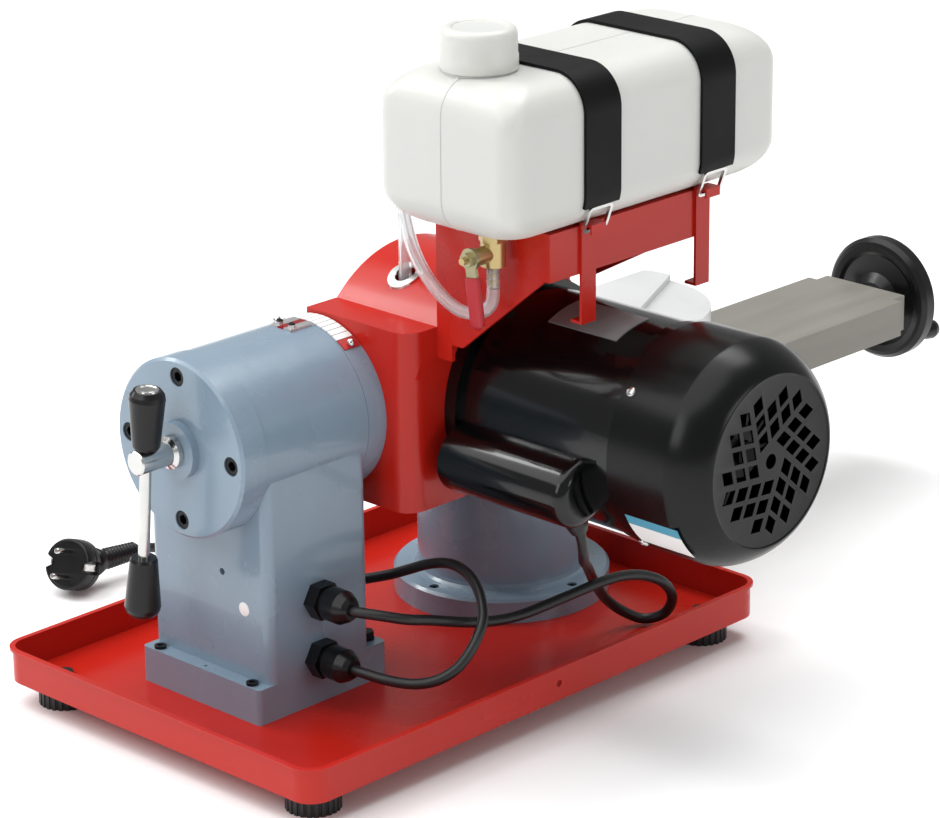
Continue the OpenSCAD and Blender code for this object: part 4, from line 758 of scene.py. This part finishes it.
class SHARPENER_OT_tank_trim(bpy.types.Operator):
    """Screw cap with its rounded edge, and the parting line of the blow-moulded tank"""
    bl_idname = "sharpener.tank_trim"
    bl_label = "Tank Trim"

    def execute(self, context):
        made = finishes()
        e = context.scene.sharpener_sizes.cap_edge * 1000
        r, h = CAP_R, CAP_H
        outer = [[r - 0.2, 0], [r, 1.0], [r, 9.0], [r - 0.5, 9.8]]
        crown = arc(r - 0.6 - e, h - e, e, 0, 84, 9).tolist()
        top = [[r - e - 2.2, h - 0.05], [r - e - 3.0, h - 0.7], [r - e - 3.4, h - 1.2], [0.01, h - 1.4]]
        inside = [[0.01, h - 3.2], [22.4, h - 3.2], [22.4, 0.0]]
        profile = np.array(outer + crown + top + inside)
        ribs = 60

        def knurl(a, z):
            """Shallow ribs round the skirt, 0.4% of the radius high."""
            on = np.clip((z - 10) / 2, 0, 1) * np.clip((h - e - z) / 3, 0, 1)
            return 1 - 0.004 * on * (0.5 + 0.5 * np.cos(ribs * a))
        cap = turned("tank_cap_shell", profile, NECK, (0, 0, 1), made["tank plastic"], 240, knurl,
                     True, 40)
        settle(cap, "cap", "tank_cap")
        (x0, y0, z0), (x1, y1, z1), k = TANK_MIN, TANK_MIN + TANK_SIZE, TANK_CORNER
        loop = np.vstack([[[NECK[0] + 27.5, z1]], arc(x1 - k, z1 - k, k, 90, 0, 12),
                          arc(x1 - k, z0 + k, k, 0, -90, 12), arc(x0 + k, z0 + k, k, -90, -180, 12),
                          arc(x0 + k, z1 - k, k, 180, 90, 12), [[NECK[0] - 27.5, z1]]])
        run = np.stack([loop[:, 0], np.full(len(loop), (y0 + y1) / 2), loop[:, 1]], 1)
        seam = rings_to_piece("tank_parting_line", [(tube_rings(run, 0.28, 10), False)],
                              made["tank plastic"], 60)
        settle(seam, "head")
        return {"FINISHED"}


# ---------- motor ----------

def shoulder():
    """The fan cover's shoulder: r from the face's edge by sin(t)^p, h from 0 by 1 - cos(t)^p."""
    t = np.linspace(0, np.pi / 2, 14)
    return np.stack([SHOULDER_R + (COVER_R - SHOULDER_R) * np.sin(t) ** SHOULDER_POWER,
                     SHOULDER_DEPTH * (1 - np.cos(t) ** SHOULDER_POWER)], 1)


def grille_cutters(pitch, hole, material):
    """Forty diamond holes, eight in each of five sectors. Sector k has two ways e1 and e2, 72 degrees apart
    and turned by 72 k, and its holes are centred (i - 0.33) * pitch along e1 and (j + 1.42) * pitch along e2
    from the cover's middle, for a stepped block of i and j."""
    picks = [(i, j) for i in range(4) for j in range(3) if i + j < 3 or (i, j) in ((2, 1), (3, 0))]
    points, quads = [], []
    for k in range(5):
        e1, e2 = (np.array([math.cos(t), 0, math.sin(t)])
                  for t in np.radians([31 + 72 * k, 103 + 72 * k]))
        for i, j in picks:
            mid = (i - 0.33) * pitch * e1 + (j + 1.42) * pitch * e2 + [MOTOR_X, FAN_FACE_Y, AXIS_Z]
            half = hole / 2
            ring = [mid + half * (a * e1 + b * e2) for a, b in ((1, 1), (-1, 1), (-1, -1), (1, -1))]
            n = len(points)
            points += [q + [0, -3, 0] for q in ring] + [q + [0, 5, 0] for q in ring]
            quads += [[n, n + 1, n + 2, n + 3], [n + 7, n + 6, n + 5, n + 4]]
            quads += [[n + m, n + 4 + m, n + 4 + (m + 1) % 4, n + (m + 1) % 4] for m in range(4)]
    return make_mesh("grille_cutter", np.array(points), quads, [], material)


class SHARPENER_OT_fan_cover(bpy.types.Operator):
    """Pressed fan cover with its rounded shoulder and star of diamond holes, its screws and blank label"""
    bl_idname = "sharpener.fan_cover"
    bl_label = "Fan Cover"

    def execute(self, context):
        made = finishes()
        sizes = context.scene.sharpener_sizes
        w = COVER_WALL
        lip = [[5.2, 0.9], [58.0, 0.9], [58.8, 0.75], [59.2, 0.3], [59.5, 0.05]]
        outer = shoulder().tolist() + [[COVER_R, COVER_END - 0.4], [COVER_R - 0.4, COVER_END]]
        inner = [[COVER_R - w, COVER_END], [COVER_R - w, SHOULDER_DEPTH + 1]] + (
            shoulder()[::-1][2:] + [-w, w]).tolist() + [[57, w + 0.9], [5.2, w + 0.9]]
        cover = turned("fan_cover_shell", lip + outer + inner, [MOTOR_X, FAN_FACE_Y, AXIS_Z], (0, 1, 0),
                       made["cover enamel"], 160, hollow=True, smooth=35)
        carve(cover, grille_cutters(sizes.grille_pitch * 1000, sizes.grille_hole * 1000,
                                    made["cover enamel"]), 35)
        settle(cover, "head", "fan_cover")
        head = [[0.01, 0.4], [0.9, 0.4], [1.1, 1.6], [2.6, 1.5], [3.3, 1.0], [3.6, 0.3], [3.6, -0.4],
                [2.0, -0.4], [2.0, -2.6], [0.01, -2.6]]
        shells = []
        for a in np.radians([52, 142, 232, 322]):
            way = np.array([math.cos(a), 0, math.sin(a)])
            spot = np.array([MOTOR_X, COVER_SCREW_Y, AXIS_Z]) + way * COVER_R
            shells.append((turned_rings(head, spot, way, 32), False))
        screws = rings_to_piece("cover_screw_heads", shells, made["bright steel"], 35)
        settle(screws, "head", "fan_cover_screws")
        for name, finish, angles in (("cover_label_top", "label blue", (206, 212)),
                                     ("cover_label", "label white", (212, 228))):
            settle(bowed_label(name, angles, made[finish]), "head")
        return {"FINISHED"}


def bowed_label(name, angles, material):
    """A thin label on the fan cover: (r cos a, y, r sin a) for a between the two angles in degrees and y
    over LABEL_REACH, from 0.05 mm inside the cover to 0.15 mm outside it."""
    a = np.radians(np.linspace(angles[0], angles[1], 20))
    low, high = LABEL_REACH
    rings = []
    under, over = COVER_R - 0.05, COVER_R + 0.15
    for y, r in ((low, under), (high, under), (high, over), (low, over)):
        rings.append(np.stack([MOTOR_X + r * np.cos(a), np.full(len(a), y), AXIS_Z + r * np.sin(a)], 1))
    return rings_to_piece(name, [(np.array(rings).transpose(1, 0, 2), False)], material, 40)


class SHARPENER_OT_capacitor_cover(bpy.types.Operator):
    """Pressed capacitor cover with its domed fan-side end"""
    bl_idname = "sharpener.capacitor_cover"
    bl_label = "Capacitor Cover"

    def execute(self, context):
        r, foot = CAPACITOR_R, CAPACITOR_OFF - 75.0 + 14.0
        out = np.array([-math.cos(CAPACITOR_TURN), 0, -math.sin(CAPACITOR_TURN)])
        across = np.array([out[2], 0, -out[0]])
        half = arc(0, 0, r, 90, -90, 40)
        outline = np.vstack([[[-foot, r]], [[-foot / 2, r]], half, [[-foot / 2, -r]], [[-foot, -r]]])
        axis = np.array([MOTOR_X, 0, AXIS_Z]) + out * CAPACITOR_OFF
        near, far = CAPACITOR_ENDS
        edge = 9.0
        dome = [(near + edge * (1 - math.cos(t)), edge * (1 - math.sin(t)))
                for t in np.radians(np.linspace(0, 90, 8))]
        shell = []
        for y, draw in [(near, r * 0.96)] + dome + [(far - 1.0, 0.0), (far, 1.0)]:
            shape = outline.copy()
            shape[:, 1] *= (r - draw) / r
            shape[:, 0] = np.where(shape[:, 0] > 0, shape[:, 0] * (r - draw) / r, shape[:, 0])
            shell.append(axis + shape[:, :1] * out + shape[:, 1:] * across + np.array([0, y, 0]))
        cover = rings_to_piece("capacitor_cover_shell", [(np.array(shell), False)],
                               finishes()["motor enamel"], 30)
        settle(cover, "head", "capacitor_cover")
        return {"FINISHED"}


# ---------- small fittings ----------

class SHARPENER_OT_fittings(bpy.types.Operator):
    """Sleeve on the valve lever, bright disc in the upper grip, pointer and scale screws, blank sticker"""
    bl_idname = "sharpener.fittings"
    bl_label = "Fittings"

    def execute(self, context):
        made = finishes()
        down = np.array([0, -math.sin(VALVE_LEAN), -math.cos(VALVE_LEAN)])
        aside = np.array([0, math.cos(VALVE_LEAN), -math.sin(VALVE_LEAN)])
        t = np.linspace(0, 1, 22)
        end = np.sqrt(np.clip(1 - np.clip((t - 0.86) / 0.14, 0, 0.995) ** 2, 0, 1))
        wide, thick = (5.9 - 0.4 * t) * end, 2.6 * np.clip(end, 0.25, 1)
        a = np.linspace(0, 2 * np.pi, 32, endpoint=False)
        cos, sin = np.cos(a), np.sin(a)
        shape = np.stack([np.sign(cos) * np.abs(cos) ** 0.5, np.sign(sin) * np.abs(sin) ** 0.5], 1)
        run = np.array([SLEEVE_X, *VALVE[1:]]) + np.outer(SLEEVE_START + SLEEVE_LENGTH * t, down)
        rings = (run[:, None] + wide[:, None, None] * shape[None, :, :1] * aside
                 + thick[:, None, None] * shape[None, :, 1:] * np.array([1.0, 0, 0]))
        sleeve = rings_to_piece("valve_lever_sleeve", [(rings, False)], made["red sleeve"], 50)
        settle(sleeve, "valve")

        lo, hi = (np.array(c) * 1000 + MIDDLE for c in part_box("lever_bar"))
        rise = np.array([0, -math.sin(LEVER_LEAN), math.cos(LEVER_LEAN)])
        top = np.array([(lo[0] + hi[0]) / 2, AXIS_Y, AXIS_Z]) + rise * GRIP_END
        disc = [[0.01, 0.9], [5.2, 0.7], [6.0, 0.4], [6.6, 0.9], [7.6, 0.9], [8.0, 0.3], [8.0, -1.0],
                [0.01, -1.0]]
        settle(turned("grip_inlay", disc, top, rise, made["bright steel"], 48, smooth=35),
               "clamp_bar")

        dome = [[0.01, 0.5], [0.8, 0.5], [1.0, 1.3], [2.0, 1.0], [2.5, 0.3], [2.5, -0.3], [0.01, -0.3]]
        shells = [(turned_rings(dome, POINTER_SCREWS + [0, s, 0], (0, 0, 1), 24), False) for s in (-6, 6)]
        settle(rings_to_piece("pointer_screw_heads", shells, made["blackened steel"], 35),
               "base")

        round_head = [[0.01, 1.9], [1.4, 1.6], [2.4, 0.8], [2.9, -0.2], [2.9, -1.6], [0.01, -1.6]]
        ways = [np.array([0, math.sin(-a), math.cos(a)]) for a in np.radians([-35, 35])]
        middle = np.array([SCALE_SCREW_X, AXIS_Y, AXIS_Z])
        shells = [(turned_rings(round_head, middle + way * SCALE_SCREW_R, way, 28), False) for way in ways]
        settle(rings_to_piece("scale_screw_heads", shells, made["bright steel"], 35),
               "head")

        sticker = turned("stand_sticker", [[0.01, 0.2], [4.8, 0.2], [5.0, 0.1], [5.0, -0.2], [0.01, -0.2]],
                         STICKER, (-1, 0, 0), made["label white"], 40)
        settle(sticker, "base")
        return {"FINISHED"}


# ---------- stage ----------

def aim(obj, axes, spot):
    """Puts a lamp or camera at a spot, with its own x, y and z along three unit vectors, in the scene."""
    obj.matrix_world = Matrix(np.vstack([np.column_stack([*axes, spot]), [0, 0, 0, 1]]).tolist())
    bpy.context.scene.collection.objects.link(obj)


class SHARPENER_OT_stage(bpy.types.Operator):
    """Pale floor, soft studio lights and the camera"""
    bl_idname = "sharpener.stage"
    bl_label = "Stage"

    def execute(self, context):
        scene = context.scene
        scene.view_settings.view_transform = "Standard"
        pale = finish_of("pale floor", (0.97, 0.97, 0.97), 0.75, (1.5, 0.01, 0.02),
                         (20, 200, 0.1, 0.00002))
        grid = [[x, y, 0] for y in (-FLOOR_HALF, FLOOR_HALF) for x in (-FLOOR_HALF, FLOOR_HALF)]
        make_mesh("studio_floor", grid, [[0, 1, 3, 2]], [], pale)
        world = bpy.data.worlds.new("studio")
        scene.world = world
        world.use_nodes = True
        sky = world.node_tree.nodes["Background"]
        sky.inputs[0].default_value = (1, 1, 1, 1)
        sky.inputs[1].default_value = 0.36
        glow = bpy.data.lights.new("glow", "SUN")
        glow.energy, glow.angle = 2.2, math.radians(76)
        lamp = bpy.data.objects.new("glow", glow)
        lamp.rotation_euler = (math.radians(-14), math.radians(-16), 0)
        scene.collection.objects.link(lamp)
        lamps = [("rear_strip", (-0.75, 1.55, 1.75), (0, 0, 0.25), (0.35, 1.9), 18),
                 ("overhead", (0.85, 0.1, 2.3), (0.0, 0.0, 0.3), (0.7, 1.5), 18),
                 ("left", (-2.3, -0.2, 1.3), (-0.2, 0.0, 0.2), (0.8, 1.1), 8),
                 ("front", (0.4, -2.5, 1.0), (0.0, 0.0, 0.25), (1.2, 0.7), 8)]
        for name, place, target, size, power in lamps:
            light = bpy.data.lights.new(name, "AREA")
            light.shape = "RECTANGLE"
            light.size, light.size_y = size
            light.energy = power
            aim(bpy.data.objects.new(name, light), axis_frame(np.subtract(place, target)), place)
        camera = bpy.data.cameras.new("studio_camera")
        camera.sensor_width, camera.lens, camera.clip_end = 36, 143.097, 100
        eye = bpy.data.objects.new("studio_camera", camera)
        yaw, pitch, roll = (math.radians(v) for v in (-45.696, 19.446, -0.6152))
        look = np.array([-math.sin(yaw) * math.cos(pitch), math.cos(yaw) * math.cos(pitch),
                         -math.sin(pitch)])
        level = np.array([math.cos(yaw), math.sin(yaw), 0.0])
        rise = np.cross(level, look)
        right = math.cos(roll) * level + math.sin(roll) * rise
        up = math.cos(roll) * rise - math.sin(roll) * level
        aim(eye, (right, up, -look), (-1.915052, -1.698815, 1.066118))
        scene.camera = eye
        return {"FINISHED"}


class SHARPENER_PT_pieces(bpy.types.Panel):
    """Lists the pieces of the sharpener, its sizes and its colours"""
    bl_label = "Wet Grinding Sharpener"
    bl_idname = "SHARPENER_PT_pieces"
    bl_space_type = "VIEW_3D"
    bl_region_type = "UI"
    bl_category = "Sharpener"

    def draw(self, context):
        for piece in PIECES:
            self.layout.operator(piece.bl_idname)
        for group in (context.scene.sharpener_sizes, context.scene.sharpener_colours):
            for key in group.__annotations__:
                self.layout.prop(group, key)


PIECES = (
    SHARPENER_OT_stage,
    SHARPENER_OT_finishes,
    SHARPENER_OT_motor_cable,
    SHARPENER_OT_mains_lead,
    SHARPENER_OT_coolant_hose,
    SHARPENER_OT_tank,
    SHARPENER_OT_tank_trim,
    SHARPENER_OT_fan_cover,
    SHARPENER_OT_capacitor_cover,
    SHARPENER_OT_fittings,
)
CLASSES = (SharpenerColours, SharpenerSizes) + PIECES + (SHARPENER_PT_pieces,)


def register():
    for cls in CLASSES:
        bpy.utils.register_class(cls)
    bpy.types.Scene.sharpener_colours = bpy.props.PointerProperty(type=SharpenerColours)
    bpy.types.Scene.sharpener_sizes = bpy.props.PointerProperty(type=SharpenerSizes)


def unregister():
    del bpy.types.Scene.sharpener_sizes
    del bpy.types.Scene.sharpener_colours
    for cls in reversed(CLASSES):
        bpy.utils.unregister_class(cls)


def main():
    """Registers the add-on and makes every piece."""
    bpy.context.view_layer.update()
    register()
    bpy.ops.sharpener.stage()
    bpy.ops.sharpener.finishes()
    bpy.ops.sharpener.motor_cable()
    bpy.ops.sharpener.mains_lead()
    bpy.ops.sharpener.coolant_hose()
    bpy.ops.sharpener.tank()
    bpy.ops.sharpener.tank_trim()
    bpy.ops.sharpener.fan_cover()
    bpy.ops.sharpener.capacitor_cover()
    bpy.ops.sharpener.fittings()


if __name__ == "__main__":
    main()
